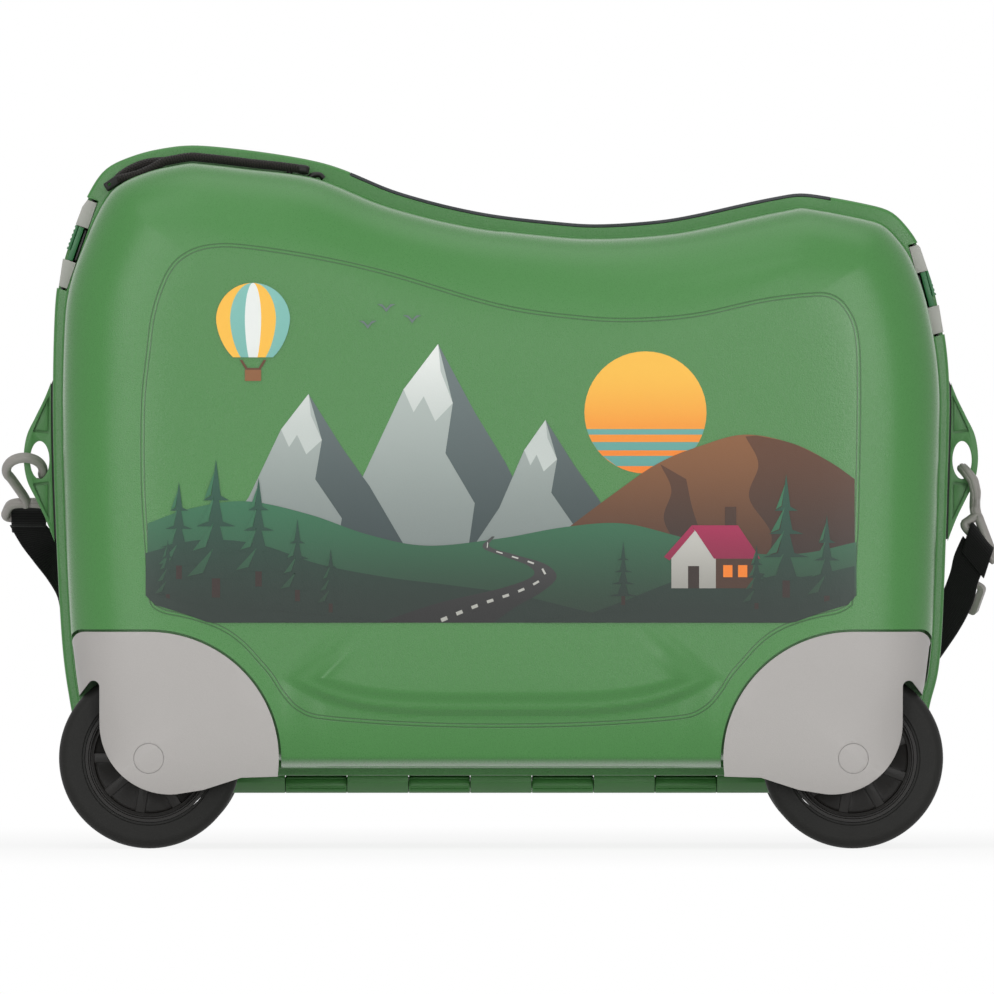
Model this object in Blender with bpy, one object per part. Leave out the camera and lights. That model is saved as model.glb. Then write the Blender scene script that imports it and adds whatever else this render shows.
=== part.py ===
"""Ride-on suitcase: two moulded shells on four wheels, with latches, hinge, grips and shoulder strap.

Units are metres and +Z is up. The origin lies on the floor under the middle of the case.
The nose (the taller horn) points to -X, the lid is the shell on the -Y side, and the base is the
shell on the +Y side. The two shells meet at y = 0 and are hinged along their lower edge.
"""

import math

import bmesh
import bpy
from mathutils import Matrix, Vector

MM = 0.001

# Clearances
TOUCH = 0.0003          # gap between faces that rest on each other
RUNNING = 0.0010        # gap round a piece that moves

# Seam outline of the case
CASE_LENGTH = 0.4876    # over the rim, nose to tail
CASE_DEPTH = 0.2080     # over both shells
CASE_BOTTOM = 0.0387    # height of the rim's lower edge
NOSE_HEIGHT = 0.3812    # crest of the nose horn
SADDLE_DROP = 0.0424
TAIL_DROP = 0.0260
SEAT_HEIGHT = NOSE_HEIGHT - SADDLE_DROP
TAIL_HEIGHT = NOSE_HEIGHT - TAIL_DROP
NOSE_CREST_X = -0.324 * CASE_LENGTH
SEAT_LOW_X = 0.115 * CASE_LENGTH
TAIL_CREST_X = 0.3446 * CASE_LENGTH
CORNER_RADIUS = 0.040   # lower corners
OUTLINE_POINTS = 50

# Section of a shell
WALL = 0.0026
RIM_DEPTH = 0.025       # from the seam to the front face of the raised rim
RIM_EDGE = 0.0018       # rounding of that face's edge
STEP_SIDE = 0.0053      # how far the rim stands proud of the bulge
STEP_TOP = 0.0075
STEP_BOTTOM = 0.0038
DRAFT = 0.0015
BULGE_STRAIGHT = 0.072  # depth at which the bulge starts to round off
ROUND_SIDE = 0.025      # width of that rounding seen from the front
ROUND_BOTTOM = 0.010
CROWN = 0.0025          # how much the middle of the face stands out
CROWN_SHARE = 0.62
ROUND_STEPS = 4

# Wheels
WHEEL_RADIUS = 0.049    # to the middle of a facet of the tread, which rests on the floor
WHEEL_SETBACK = 0.0534  # wheel centres from the ends of the rim
WHEEL_X = CASE_LENGTH / 2 - WHEEL_SETBACK
WHEEL_INNER = 0.0570    # inner side of the wheels from the seam
WHEEL_WIDTH = 0.0265
TYRE_THICKNESS = 0.0140
TYRE_SHOULDER = 0.0055
TYRE_LIP = 0.0020
HUB_BOSS_RADIUS = 0.0090
HUB_WEB = 0.0080        # from the inner side to the floor of the pockets
HUB_RIM = 0.0045
HUB_SPOKES = 9
SPOKE_WIDTH = 0.0030
AXLE_RADIUS = 0.0030
WELL_CLEARANCE = 0.0032
WHEEL_SEGMENTS = 22

# Wheel covers
COVER_RADIUS = 0.0683   # arc of the cover round the wheel's centre
COVER_THICKNESS = 0.0030
COVER_REACH = 0.0500    # how near the cover comes to the seam
COVER_DROP = 0.0195     # lowest point of the cover below the axle
COVER_FLAT_DROP = 0.0098
COVER_CUT_X = 0.0292    # the open outer side of the cover, from the axle
COVER_CUT_TOP = 0.0400
COVER_TAB_X = 0.0400
COVER_TAB_DROP = 0.0334
COVER_CORNER = 0.0060
COVER_GAP = 0.0005
COVER_UNDER = 0.0009    # between a cover and its seat
COVER_BOTTOM = 0.0180   # lower edge of the outline that a cover follows
COVER_BOSS = 0.0070
CAP_RADIUS = 0.0080
CAP_THICKNESS = 0.0022

# Recessed skirt under the face
SKIRT_DEPTH = 0.0050
SKIRT_TOP = 0.0730
SKIRT_GAP = 0.0011      # from the ends of the skirt to the covers
SKIRT_HALF = WHEEL_X - COVER_RADIUS - SKIRT_GAP
SKIRT_RISE = 0.0260     # at its ends, where it runs up beside the covers
SKIRT_REACH = 0.0800    # how near the recess comes to the seam
SKIRT_STEPS = 7

# Hinge
KNUCKLE_COUNT = 9
HINGE_SHARE = 0.62      # of the length of the case
KNUCKLE_PITCH = HINGE_SHARE * CASE_LENGTH / KNUCKLE_COUNT
KNUCKLE_GAP = 0.0008
BARREL_RADIUS = 0.0046
HINGE_PIN_RADIUS = 0.0019
HINGE_LEAF = 0.0090

# Latches
LATCH_DROP_NOSE = 0.0507  # middle of a latch under the crest of its horn
LATCH_DROP_TAIL = 0.0503
LATCH_HEIGHT_NOSE = NOSE_HEIGHT - LATCH_DROP_NOSE
LATCH_HEIGHT_TAIL = TAIL_HEIGHT - LATCH_DROP_TAIL
LATCH_LENGTH = 0.0494
LATCH_END_GAP = 0.0013   # lets the lid swing clear of the lever
LATCH_SAG = 0.0060       # how fast the rim curves away along the latch
LATCH_THICKNESS = 0.0078
LATCH_FRONT = 0.0244    # from the seam towards the lid
LATCH_PIVOT_Y = 0.0100  # from the seam towards the base
LATCH_PIVOT_SINK = 0.0050
LATCH_BARREL = 0.0027
LATCH_PIN_RADIUS = 0.0013
LATCH_PIN_REACH = 0.0022
LATCH_ARM = 0.0148
LATCH_PLATE = 0.0030
SLIDER_LENGTH = 0.0138
SLIDER_RIBS = 5
SLIDER_RIB_HEIGHT = 0.0009
KEEPER_HEIGHT = 0.0016

# Seat strip
SEAT_THICKNESS = 0.0016
SEAT_START = 0.0650     # from the crest of the nose horn
SEAT_END = 0.0110       # past the crest of the tail horn
SEAT_FROM_X = NOSE_CREST_X + SEAT_START
SEAT_TO_X = TAIL_CREST_X + SEAT_END

# Strap lugs
LUG_HEIGHT = 0.0920
LUG_REACH = 0.0168
LUG_SHARE = 0.5054      # of the height of the case, up to the middle of a lug
LUG_CENTRE = CASE_BOTTOM + LUG_SHARE * (NOSE_HEIGHT - CASE_BOTTOM)
LUG_THICKNESS = 0.0060
LUG_Y = 0.0046
LUG_HOLE_WIDTH = 0.0106
LUG_HOLE_HEIGHT = 0.0207
LUG_WEB_SINK = 0.0016
LUG_BORDER = 0.0026
LUG_EYE_EDGE = 0.0034    # material outside the eye
TENON_DEPTH = 0.0045
TENON_LENGTH = 0.0500
TENON_THICKNESS = 0.0034

# Strap hooks
HOOK_RING = 0.0100      # radius of the ring's middle line
HOOK_THICKNESS = 0.0052
HOOK_LENGTH = 0.0360    # from the ring's centre to the strap bar
HOOK_BAR_HALF = 0.0125
HOOK_NECK_HALF = 0.0065  # half width of the strap loop where it joins the neck
HOOK_NECK = 0.0170
HOOK_TIP_ANGLE = -35.0
HOOK_BACK_ANGLE = 222.0
HOOK_LEAN = 43.0        # of the nose hook, front edge up
HOOK_NOSE_SHIFT = 0.0015
HOOK_NOSE_DROP = 0.0035  # ring centre under the eye centre
HOOK_TAIL_LEAN = 16.3
HOOK_TAIL_DROP = 0.0048
GATE_ROOT_U = 0.0030
GATE_ROOT_V = 0.0128
GATE_THICKNESS = 0.0026

# Shoulder strap
STRAP_WIDTH = 0.0200
STRAP_THICKNESS = 0.0018
ADJUSTER_LENGTH = 0.0220
ADJUSTER_THICKNESS = 0.0030
ADJUSTER_RIM = 0.0028
ADJUSTER_SHARE = 0.955   # place along the strap
STRAP_POINTS = 46

# Rope grips
GRIP_RADIUS = 0.0024
GRIP_BEFORE = 0.0495    # from the crest of the nose horn
GRIP_PAST = 0.0518
GRIP_FROM_X = NOSE_CREST_X - GRIP_BEFORE
GRIP_TO_X = NOSE_CREST_X + GRIP_PAST
GRIP_SPACING = 0.0053
GRIP_STEPS = 9
CRIMP_LENGTH = 0.0060
ANCHOR_LENGTH = 0.0060
ANCHOR_WIDTH = 0.0030

# Packing ribbons
RIBBON_WIDTH = 0.0250
RIBBON_THICKNESS = 0.0012
RIBBON_DEPTH = 0.0140
BUCKLE_LENGTH = 0.0500
BUCKLE_THICKNESS = 0.0050
RIBBON_TILT = 16.0

SIDES = {"lid": -1.0, "base": 1.0}
ENDS = {"nose": -1.0, "tail": 1.0}


def clear_scene():
    """Empty the file"""
    for thing in list(bpy.data.objects):
        bpy.data.objects.remove(thing)


def finish(name, colour, roughness, metallic=0.0):
    """One Principled material"""
    material = bpy.data.materials.new(name)
    material.use_nodes = True
    shader = material.node_tree.nodes["Principled BSDF"]
    shader.inputs["Base Color"].default_value = (*colour, 1.0)
    shader.inputs["Roughness"].default_value = roughness
    shader.inputs["Metallic"].default_value = metallic
    return material


def add_object(name, bm, material=None, smooth=35.0):
    """Turn a bmesh into an object in world place"""
    bmesh.ops.recalc_face_normals(bm, faces=bm.faces)
    mesh = bpy.data.meshes.new(name)
    bm.to_mesh(mesh)
    bm.free()
    mesh.shade_smooth()
    mesh.set_sharp_from_angle(angle=math.radians(smooth))
    thing = bpy.data.objects.new(name, mesh)
    bpy.context.collection.objects.link(thing)
    if material:
        mesh.materials.append(material)
    return thing


def settle(thing):
    """Apply an object's modifiers to its mesh"""
    bpy.context.view_layer.update()
    evaluated = thing.evaluated_get(bpy.context.evaluated_depsgraph_get())
    mesh = bpy.data.meshes.new_from_object(evaluated)
    thing.modifiers.clear()
    thing.data = mesh


def combine(thing, tool, operation):
    """Boolean one object with another, which is used up"""
    modifier = thing.modifiers.new("cut", "BOOLEAN")
    modifier.object = tool
    modifier.operation = operation
    modifier.solver = "EXACT"
    settle(thing)
    bpy.data.objects.remove(tool)
    return thing


def cut(thing, *tools):
    """Take tools away from a thing"""
    for tool in tools:
        combine(thing, tool, "DIFFERENCE")
    return thing


def fuse(thing, *others):
    """Make one body of a thing and others"""
    for other in others:
        combine(thing, other, "UNION")
    return thing


def set_origin(thing, point):
    """Put an object's origin on its joint's axis and keep its place"""
    point = Vector(point)
    thing.data.transform(Matrix.Translation(-point))
    thing.location = point


def loft(rings):
    """A closed body through rings with equal counts of points"""
    bm = bmesh.new()
    loops = [[bm.verts.new(point) for point in ring] for ring in rings]
    for first, second in zip(loops, loops[1:]):
        count = len(first)
        for i in range(count):
            j = (i + 1) % count
            bm.faces.new((first[i], first[j], second[j], second[i]))
    bm.faces.new(loops[0])
    bm.faces.new(list(reversed(loops[-1])))
    return bm


def prism(outline, near, far):
    """A body between two depths, from an outline of (x, z)"""
    return loft([[(x, y, z) for x, z in outline] for y in (near, far)])


def cylinder(centre, axis, radius, length, segments=24):
    """A round bar centred on a point"""
    bm = bmesh.new()
    turn = Vector((0, 0, 1)).rotation_difference(Vector(axis)).to_matrix().to_4x4()
    bmesh.ops.create_cone(bm, cap_ends=True, segments=segments, radius1=radius, radius2=radius,
                          depth=length, matrix=Matrix.Translation(centre) @ turn)
    return bm


def revolve(profile, centre, segments=WHEEL_SEGMENTS):
    """A ring turned about Y, from a closed profile of (radius, y)"""
    bm = bmesh.new()
    start = [bm.verts.new((centre[0] + r, centre[1] + y, centre[2])) for r, y in profile]
    count = len(start)
    edges = [bm.edges.new((start[i], start[(i + 1) % count])) for i in range(count)]
    bmesh.ops.spin(bm, geom=start + edges, cent=centre, axis=(0, 1, 0), angle=math.tau,
                   steps=segments, use_merge=True)
    bmesh.ops.remove_doubles(bm, verts=bm.verts, dist=1e-7)
    return bm


def box_in(frame, low, high):
    """A box given in a local frame"""
    bm = bmesh.new()
    size = Vector(high) - Vector(low)
    middle = (Vector(high) + Vector(low)) / 2
    place = frame @ Matrix.Translation(middle) @ Matrix.Diagonal((*size, 1.0))
    bmesh.ops.create_cube(bm, size=1.0, matrix=place)
    return bm


def arc(centre, radius, start, end, steps):
    """Points of a circular arc, angles in degrees"""
    turns = [math.radians(start + (end - start) * i / steps) for i in range(steps + 1)]
    return [(centre[0] + radius * math.cos(a), centre[1] + radius * math.sin(a)) for a in turns]


def smooth_loop(points, count):
    """Evenly spaced points on a closed smooth curve through the given points"""
    dense = []
    total = len(points)
    for i in range(total):
        p0, p1, p2, p3 = (Vector(points[(i + k) % total]) for k in (-1, 0, 1, 2))
        for step in range(16):
            t = step / 16
            dense.append(0.5 * (2 * p1 + (p2 - p0) * t + (2 * p0 - 5 * p1 + 4 * p2 - p3) * t * t
                                + (3 * p1 - p0 - 3 * p2 + p3) * t ** 3))
    return even_points(dense + dense[:1], count + 1)[:-1]


def even_points(dense, count):
    """Resample a line of points at equal distances"""
    reach = [0.0]
    for first, second in zip(dense, dense[1:]):
        reach.append(reach[-1] + (second - first).length)
    result = []
    place = 0
    for i in range(count):
        goal = reach[-1] * i / (count - 1)
        while place < len(reach) - 2 and reach[place + 1] < goal:
            place += 1
        span = reach[place + 1] - reach[place]
        share = (goal - reach[place]) / span if span else 0.0
        result.append(dense[place].lerp(dense[place + 1], share))
    return result


def smooth_line(points, count):
    """Evenly spaced points on an open smooth curve through the given points"""
    line = [Vector(point) for point in points]
    line = [2 * line[0] - line[1]] + line + [2 * line[-1] - line[-2]]
    dense = []
    for p0, p1, p2, p3 in zip(line, line[1:], line[2:], line[3:]):
        for step in range(12):
            t = step / 12
            dense.append(0.5 * (2 * p1 + (p2 - p0) * t + (2 * p0 - 5 * p1 + 4 * p2 - p3) * t * t
                                + (3 * p1 - p0 - 3 * p2 + p3) * t ** 3))
    dense.append(line[-2])
    return even_points(dense, count)


def seam_outline(bottom=CASE_BOTTOM, count=OUTLINE_POINTS):
    """The case's outline seen from the front, as (x, z) points that run clockwise"""
    half = CASE_LENGTH / 2
    nose_rise = NOSE_HEIGHT - CASE_BOTTOM
    tail_rise = TAIL_HEIGHT - CASE_BOTTOM
    nose_side = [(0.961, 0.112), (0.982, 0.231), (0.999, 0.503), (0.998, 0.707), (0.984, 0.804),
                 (0.942, 0.892), (0.897, 0.952), (0.852, 0.976), (0.763, 0.9955)]
    tail_side = [(0.845, 0.977), (0.892, 0.955), (0.937, 0.906), (0.975, 0.819), (0.9995, 0.690),
                 (0.997, 0.510), (0.982, 0.220), (0.957, 0.121)]
    nose_to_seat = [(0.277, 0.795), (0.481, 0.409), (0.685, 0.153), (0.888, 0.026)]
    seat_to_tail = [(0.274, 0.134), (0.469, 0.366), (0.664, 0.665), (0.859, 0.933)]
    points = [(-half * x, CASE_BOTTOM + z * nose_rise) for x, z in nose_side]
    points.append((NOSE_CREST_X, NOSE_HEIGHT))
    for along, height in nose_to_seat:
        x = NOSE_CREST_X + along * (SEAT_LOW_X - NOSE_CREST_X)
        points.append((x, SEAT_HEIGHT + height * (NOSE_HEIGHT - SEAT_HEIGHT)))
    points.append((SEAT_LOW_X, SEAT_HEIGHT))
    for along, height in seat_to_tail:
        x = SEAT_LOW_X + along * (TAIL_CREST_X - SEAT_LOW_X)
        points.append((x, SEAT_HEIGHT + height * (TAIL_HEIGHT - SEAT_HEIGHT)))
    points.append((TAIL_CREST_X, TAIL_HEIGHT))
    points += [(half * x, CASE_BOTTOM + z * tail_rise) for x, z in tail_side]
    edge = half * 0.957 - CORNER_RADIUS
    tail_corner = arc((edge, bottom + CORNER_RADIUS), CORNER_RADIUS, -22, -90, 3)
    nose_corner = [(-x, z) for x, z in reversed(tail_corner)]
    floor = [(edge * share, bottom) for share in (0.75, 0.25, -0.25, -0.75)]
    return smooth_loop(points + tail_corner + floor + nose_corner, count)


def outward(outline):
    """Unit normals of a clockwise outline, pointing away from its inside"""
    count = len(outline)
    normals = []
    for i in range(count):
        along = outline[(i + 1) % count] - outline[i - 1]
        normals.append(Vector((-along.y, along.x)).normalized())
    return normals


def grown(outline, distances):
    """An outline moved outwards by one distance for each of its points"""
    return [point + normal * distance
            for point, normal, distance in zip(outline, outward(outline), distances)]


def rim_step(normal):
    """How far the rim stands proud where the outline faces a given way"""
    up = max(0.0, normal.y)
    down = max(0.0, -normal.y)
    return STEP_SIDE + (STEP_TOP - STEP_SIDE) * up + (STEP_BOTTOM - STEP_SIDE) * down


def bulge_round(normal):
    """Width of the bulge's rounding where the outline faces a given way"""
    return ROUND_SIDE + (ROUND_BOTTOM - ROUND_SIDE) * max(0.0, -normal.y)


def bulge_rings(side, skin, start, bottom=CASE_BOTTOM, count=OUTLINE_POINTS, steps=ROUND_STEPS):
    """Rings of the bulge's surface, or of one that lies a skin below it"""
    outline = seam_outline(bottom, count)
    normals = outward(outline)
    steps_in = [rim_step(normal) + skin for normal in normals]
    rounds = [bulge_round(normal) for normal in normals]
    face = CASE_DEPTH / 2 - CROWN
    slope = DRAFT / (BULGE_STRAIGHT - RIM_DEPTH)
    rings = [([inset + (start - RIM_DEPTH) * slope for inset in steps_in], start)]
    rings.append(([inset + DRAFT for inset in steps_in], BULGE_STRAIGHT))
    for i in range(1, steps + 1):
        turn = math.pi / 2 * i / steps
        insets = [inset + DRAFT + (width - skin * 0.4) * (1 - math.cos(turn))
                  for inset, width in zip(steps_in, rounds)]
        rings.append((insets, BULGE_STRAIGHT + (face - skin - BULGE_STRAIGHT) * math.sin(turn)))
    placed = []
    for insets, depth in rings:
        loop = grown(outline, [-inset for inset in insets])
        placed.append([(point.x, side * depth, point.y) for point in loop])
    middle = sum((Vector(point) for point in placed[-1]), Vector()) / count
    crown = []
    for point in placed[-1]:
        x = middle.x + (point[0] - middle.x) * CROWN_SHARE
        z = middle.z + (point[2] - middle.z) * CROWN_SHARE
        crown.append((x, side * (CASE_DEPTH / 2 - skin), z))
    placed.append(crown)
    return placed


def shell_solid(side):
    """The full outer form of one shell, rim and bulge"""
    outline = seam_outline()
    rings = []
    for inset, depth in ((0.0, TOUCH / 2), (0.0, RIM_DEPTH - RIM_EDGE), (RIM_EDGE, RIM_DEPTH)):
        loop = grown(outline, [-inset] * OUTLINE_POINTS)
        rings.append([(point.x, side * depth, point.y) for point in loop])
    rings += bulge_rings(side, 0.0, RIM_DEPTH)
    return loft(rings)


def cavity_solid(side):
    """The room inside one shell, open at the seam"""
    rings = bulge_rings(side, WALL, 0.0, count=OUTLINE_POINTS * 2 // 3, steps=3)
    rings[0] = [(x, -side * WALL, z) for x, _, z in rings[0]]
    return loft(rings)


def cover_outline(end, margin=0.0):
    """Outline of a wheel cover as (x, z), with a margin all round"""
    low = COVER_DROP + margin
    cut_x = -COVER_CUT_X - margin
    tab_x = -COVER_TAB_X + margin
    outer_x = -WHEEL_RADIUS - 2 * COVER_CORNER
    radius = COVER_RADIUS + margin
    points = arc((0, 0), radius, 90, -7, 9)
    points.append((radius - 0.0005, -COVER_FLAT_DROP - margin))
    points.append((0.0500, -COVER_FLAT_DROP - 0.0006 - margin))
    points.append((0.0295, -0.0170 - margin))
    centre_x = 0.0115
    bend = centre_x - cut_x
    points += [(x, z) for x, z in arc((centre_x, bend - low), bend, -85, -180, 5)]
    points.append((cut_x, COVER_CUT_TOP - 0.002 - margin))
    points.append((cut_x - 0.0025, COVER_CUT_TOP - margin))
    points.append((tab_x - 0.0005, COVER_TAB_DROP - margin))
    points.append((outer_x, COVER_TAB_DROP - margin))
    points.append((outer_x, radius))
    return [(end * (WHEEL_X - x), WHEEL_RADIUS + z) for x, z in points]


def cover_seat(side, end, margin, skin):
    """What a shell loses under a wheel cover: all that lies outside a skin below its surface"""
    outline = cover_outline(end, margin)
    near, far = side * (COVER_REACH - margin), side * CASE_DEPTH
    block = add_object("seat block", prism(outline, near, far))
    return cut(block, add_object("seat core", loft(bulge_rings(side, skin, 0.0))))


def surface_slice(name, side, skin, block, proud=0.0):
    """The part of a block between a skin below the covers' outer surface and a height above it"""
    thing = add_object(name, block)
    outer = loft(bulge_rings(side, -proud, 0.0, COVER_BOTTOM))
    combine(thing, add_object("outer", outer), "INTERSECT")
    return cut(thing, add_object("core", loft(bulge_rings(side, skin, 0.0, COVER_BOTTOM))))


def well_cutter(side, end, grow):
    """A wheel's round well"""
    inner = WHEEL_INNER - WELL_CLEARANCE - grow
    outer = CASE_DEPTH / 2 + 0.01
    centre = (end * WHEEL_X, side * (inner + outer) / 2, WHEEL_RADIUS)
    radius = WHEEL_RADIUS + WELL_CLEARANCE + grow
    return add_object("well", cylinder(centre, (0, 1, 0), radius, outer - inner, WHEEL_SEGMENTS))


def skirt_cutter(side, margin):
    """The recess under the face, whose floor is the face's own form set back"""
    outline = []
    for i in range(2 * SKIRT_STEPS + 1):
        share = i / SKIRT_STEPS - 1
        rise = SKIRT_RISE * abs(share) ** 5
        outline.append((share * (SKIRT_HALF + margin), SKIRT_TOP + margin + rise))
    outline += [(SKIRT_HALF + margin, 0.0), (-SKIRT_HALF - margin, 0.0)]
    block = prism(outline, side * (SKIRT_REACH - margin), side * CASE_DEPTH)
    back = [[(x, y - side * SKIRT_DEPTH, z) for x, y, z in ring]
            for ring in bulge_rings(side, margin, 0.0)]
    return cut(add_object("skirt", block), add_object("skirt floor", loft(back)))


def rim_place(end, height):
    """Frame on the rim at a height: X clockwise along the rim, Y across the seam, Z outwards"""
    outline = seam_outline(count=720)
    normals = outward(outline)
    best = min((i for i in range(720) if end * outline[i].x > 0.05),
               key=lambda i: abs(outline[i].y - height))
    point = outline[best]
    out = Vector((normals[best].x, 0, normals[best].y))
    across = Vector((0, 1, 0))
    along = across.cross(out)
    frame = Matrix((along, across, out)).transposed().to_4x4()
    frame.translation = (point.x, 0, point.y)
    return frame


def latch_frame(end_name):
    """Frame of one latch"""
    height = LATCH_HEIGHT_NOSE if end_name == "nose" else LATCH_HEIGHT_TAIL
    return rim_place(ENDS[end_name], height)


def latch_cutter(end_name, grow):
    """The pocket of a latch in the rim of both shells"""
    half = LATCH_LENGTH / 2 + RUNNING + 0.0003 + grow
    rear = LATCH_PIVOT_Y + LATCH_PIVOT_SINK + 0.0016 + grow
    low = -LATCH_THICKNESS - TOUCH - grow
    block = box_in(latch_frame(end_name), (-half, -RIM_DEPTH - 0.01, low), (half, rear, 0.01))
    return add_object("latch pocket", block)


def rim_band(name, outline_grow=0.0):
    """The rim as a solid bar across both shells, to shape what lies flush in it"""
    outline = grown(seam_outline(), [outline_grow] * OUTLINE_POINTS)
    return add_object(name, prism([(p.x, p.y) for p in outline], -RIM_DEPTH, RIM_DEPTH))


def hinge_axis_z():
    """Height of the hinge line"""
    return CASE_BOTTOM - BARREL_RADIUS - 2 * TOUCH


def gather(bodies):
    """One bmesh that holds several bodies"""
    whole = bmesh.new()
    for body in bodies:
        bmesh.ops.recalc_face_normals(body, faces=body.faces)
        mesh = bpy.data.meshes.new("body")
        body.to_mesh(mesh)
        body.free()
        whole.from_mesh(mesh)
        bpy.data.meshes.remove(mesh)
    return whole


def knuckles(side, numbers):
    """The hinge knuckles of one shell, each with its leaf up to the rim"""
    axis_z = hinge_axis_z()
    top = CASE_BOTTOM + WALL / 2
    section = [(side * HINGE_LEAF, axis_z), (side * HINGE_LEAF, top), (side * TOUCH, top)]
    section += [(side * y, z) for y, z in arc((0, axis_z), BARREL_RADIUS, 92, 292, 8)]
    start = -KNUCKLE_COUNT * KNUCKLE_PITCH / 2
    bodies = []
    for number in numbers:
        left = start + number * KNUCKLE_PITCH + KNUCKLE_GAP / 2
        right = left + KNUCKLE_PITCH - KNUCKLE_GAP
        bodies.append(loft([[(x, y, z) for y, z in section] for x in (left, right)]))
    return add_object("knuckles", gather(bodies))


def hinge_bar(name, radius, extra=0.0, material=None):
    """A bar along the hinge line"""
    length = KNUCKLE_COUNT * KNUCKLE_PITCH - 2 * KNUCKLE_GAP + extra
    bar = cylinder((0, 0, hinge_axis_z()), (1, 0, 0), radius, length, 12)
    return add_object(name, bar, material)


def tenon(end_name, grow, reach):
    """A strap lug's tenon, or the slot that it sits in"""
    end = ENDS[end_name]
    edge = rim_place(end, LUG_CENTRE).translation.x
    inner = edge - end * (TENON_DEPTH + grow)
    outer = edge + end * reach
    z = TENON_LENGTH / 2 + grow
    y = TENON_THICKNESS / 2 + grow
    low = (min(inner, outer), LUG_Y - y, LUG_CENTRE - z)
    high = (max(inner, outer), LUG_Y + y, LUG_CENTRE + z)
    return add_object("tenon", box_in(Matrix(), low, high))


def axle_point(side, end, depth):
    """A point on a wheel's axis"""
    return Vector((end * WHEEL_X, side * depth, WHEEL_RADIUS))


def round_bar(name, side, end, radius, inner, outer, segments=16, material=None):
    """A round piece on a wheel's axis between two depths"""
    centre = axle_point(side, end, (inner + outer) / 2)
    bar = cylinder(centre, (0, 1, 0), radius, outer - inner, segments)
    return add_object(name, bar, material)


def axle_inner():
    """Depth of the well's inner wall, where the axle starts"""
    return WHEEL_INNER - WELL_CLEARANCE - WALL


def cover_face():
    """Depth of the face of a cover at its axle"""
    return CASE_DEPTH / 2 - CROWN


def latch_bar(end_name, name, radius, length, segments=10, material=None):
    """A round piece on a latch's pivot"""
    frame = latch_frame(end_name)
    centre = frame @ Vector((0, LATCH_PIVOT_Y, -LATCH_PIVOT_SINK))
    return add_object(name, cylinder(centre, frame.col[0].xyz, radius, length, segments), material)


def latch_pin_length():
    """Length of a latch's pivot pin, into both end walls of its pocket"""
    return LATCH_LENGTH + 2 * (LATCH_END_GAP + LATCH_PIN_REACH)


def seat_cutter(grow, low_x, high_x):
    """The part of the rim's top that the seat strip takes, from a depth under its surface"""
    inside = grown(seam_outline(), [-SEAT_THICKNESS - grow] * OUTLINE_POINTS)
    height = (TAIL_HEIGHT + CASE_BOTTOM) / 2
    corners = (low_x, -RIM_DEPTH * 2, height), (high_x, RIM_DEPTH * 2, NOSE_HEIGHT + WALL)
    block = add_object("seat block", box_in(Matrix(), *corners))
    core = prism([(p.x, p.y) for p in inside], -RIM_DEPTH * 3, RIM_DEPTH * 3)
    return cut(block, add_object("seat core", core))


def build_shell(side_name, material):
    """One shell with its wheel wells, cover seats, skirt, latch pockets and hinge knuckles"""
    side = SIDES[side_name]
    numbers = range(0, KNUCKLE_COUNT, 2) if side < 0 else range(1, KNUCKLE_COUNT, 2)
    shell = add_object(side_name + "_shell", shell_solid(side), material)
    fuse(shell, knuckles(side, numbers))
    room = add_object("room", cavity_solid(side))
    cut(shell, skirt_cutter(side, 0.0))
    cut(room, skirt_cutter(side, WALL))
    for end_name, end in ENDS.items():
        cut(shell, cover_seat(side, end, COVER_GAP, COVER_THICKNESS + COVER_UNDER))
        cut(room, cover_seat(side, end, WALL, COVER_THICKNESS + COVER_UNDER + WALL))
        cut(shell, well_cutter(side, end, 0.0))
        cut(room, well_cutter(side, end, WALL))
        cut(shell, latch_cutter(end_name, 0.0))
        cut(room, latch_cutter(end_name, WALL))
    cut(shell, room, seat_cutter(TOUCH, SEAT_FROM_X - TOUCH, SEAT_TO_X + TOUCH))
    for end in ENDS.values():
        boss_end = WHEEL_INNER - RUNNING
        fuse(shell, round_bar("boss", side, end, COVER_BOSS, axle_inner(), boss_end))
        cut(shell, round_bar("bore", side, end, AXLE_RADIUS + TOUCH, axle_inner() - WALL,
                             boss_end + WALL))
    if side > 0:
        for end_name in ENDS:
            cut(shell, tenon(end_name, TOUCH, STEP_SIDE))
            cut(shell, latch_bar(end_name, "bore", LATCH_PIN_RADIUS + TOUCH,
                                 latch_pin_length() + 2 * TOUCH))
    cut(shell, hinge_bar("bore", HINGE_PIN_RADIUS + TOUCH, WALL))
    if side < 0:
        set_origin(shell, (0, 0, hinge_axis_z()))


def build_cover(side_name, end_name, material):
    """One wheel cover, with the boss for its axle and the seat of the axle's cap"""
    side, end = SIDES[side_name], ENDS[end_name]
    cover = surface_slice(f"wheel_cover_{side_name}_{end_name}", side, COVER_THICKNESS,
                          prism(cover_outline(end), side * COVER_REACH, side * CASE_DEPTH))
    cover.data.materials.append(material)
    boss_start = WHEEL_INNER + WHEEL_WIDTH + RUNNING
    fuse(cover, round_bar("boss", side, end, COVER_BOSS, boss_start, cover_face() - CAP_THICKNESS))
    middle, length = axle_point(side, end, CASE_DEPTH / 2), CASE_DEPTH / 4
    hole = cylinder(middle, (0, 1, 0), CAP_RADIUS + TOUCH, length, 16)
    cut(cover, surface_slice("cap seat", side, CAP_THICKNESS + TOUCH, hole, WALL))
    bore_ends = boss_start - WALL, cover_face() + WALL
    cut(cover, round_bar("bore", side, end, AXLE_RADIUS + TOUCH, *bore_ends))
    disc = cylinder(middle, (0, 1, 0), CAP_RADIUS, length, 16)
    cap = surface_slice(f"axle_cap_{side_name}_{end_name}", side, CAP_THICKNESS, disc)
    cap.data.materials.append(material)


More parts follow.
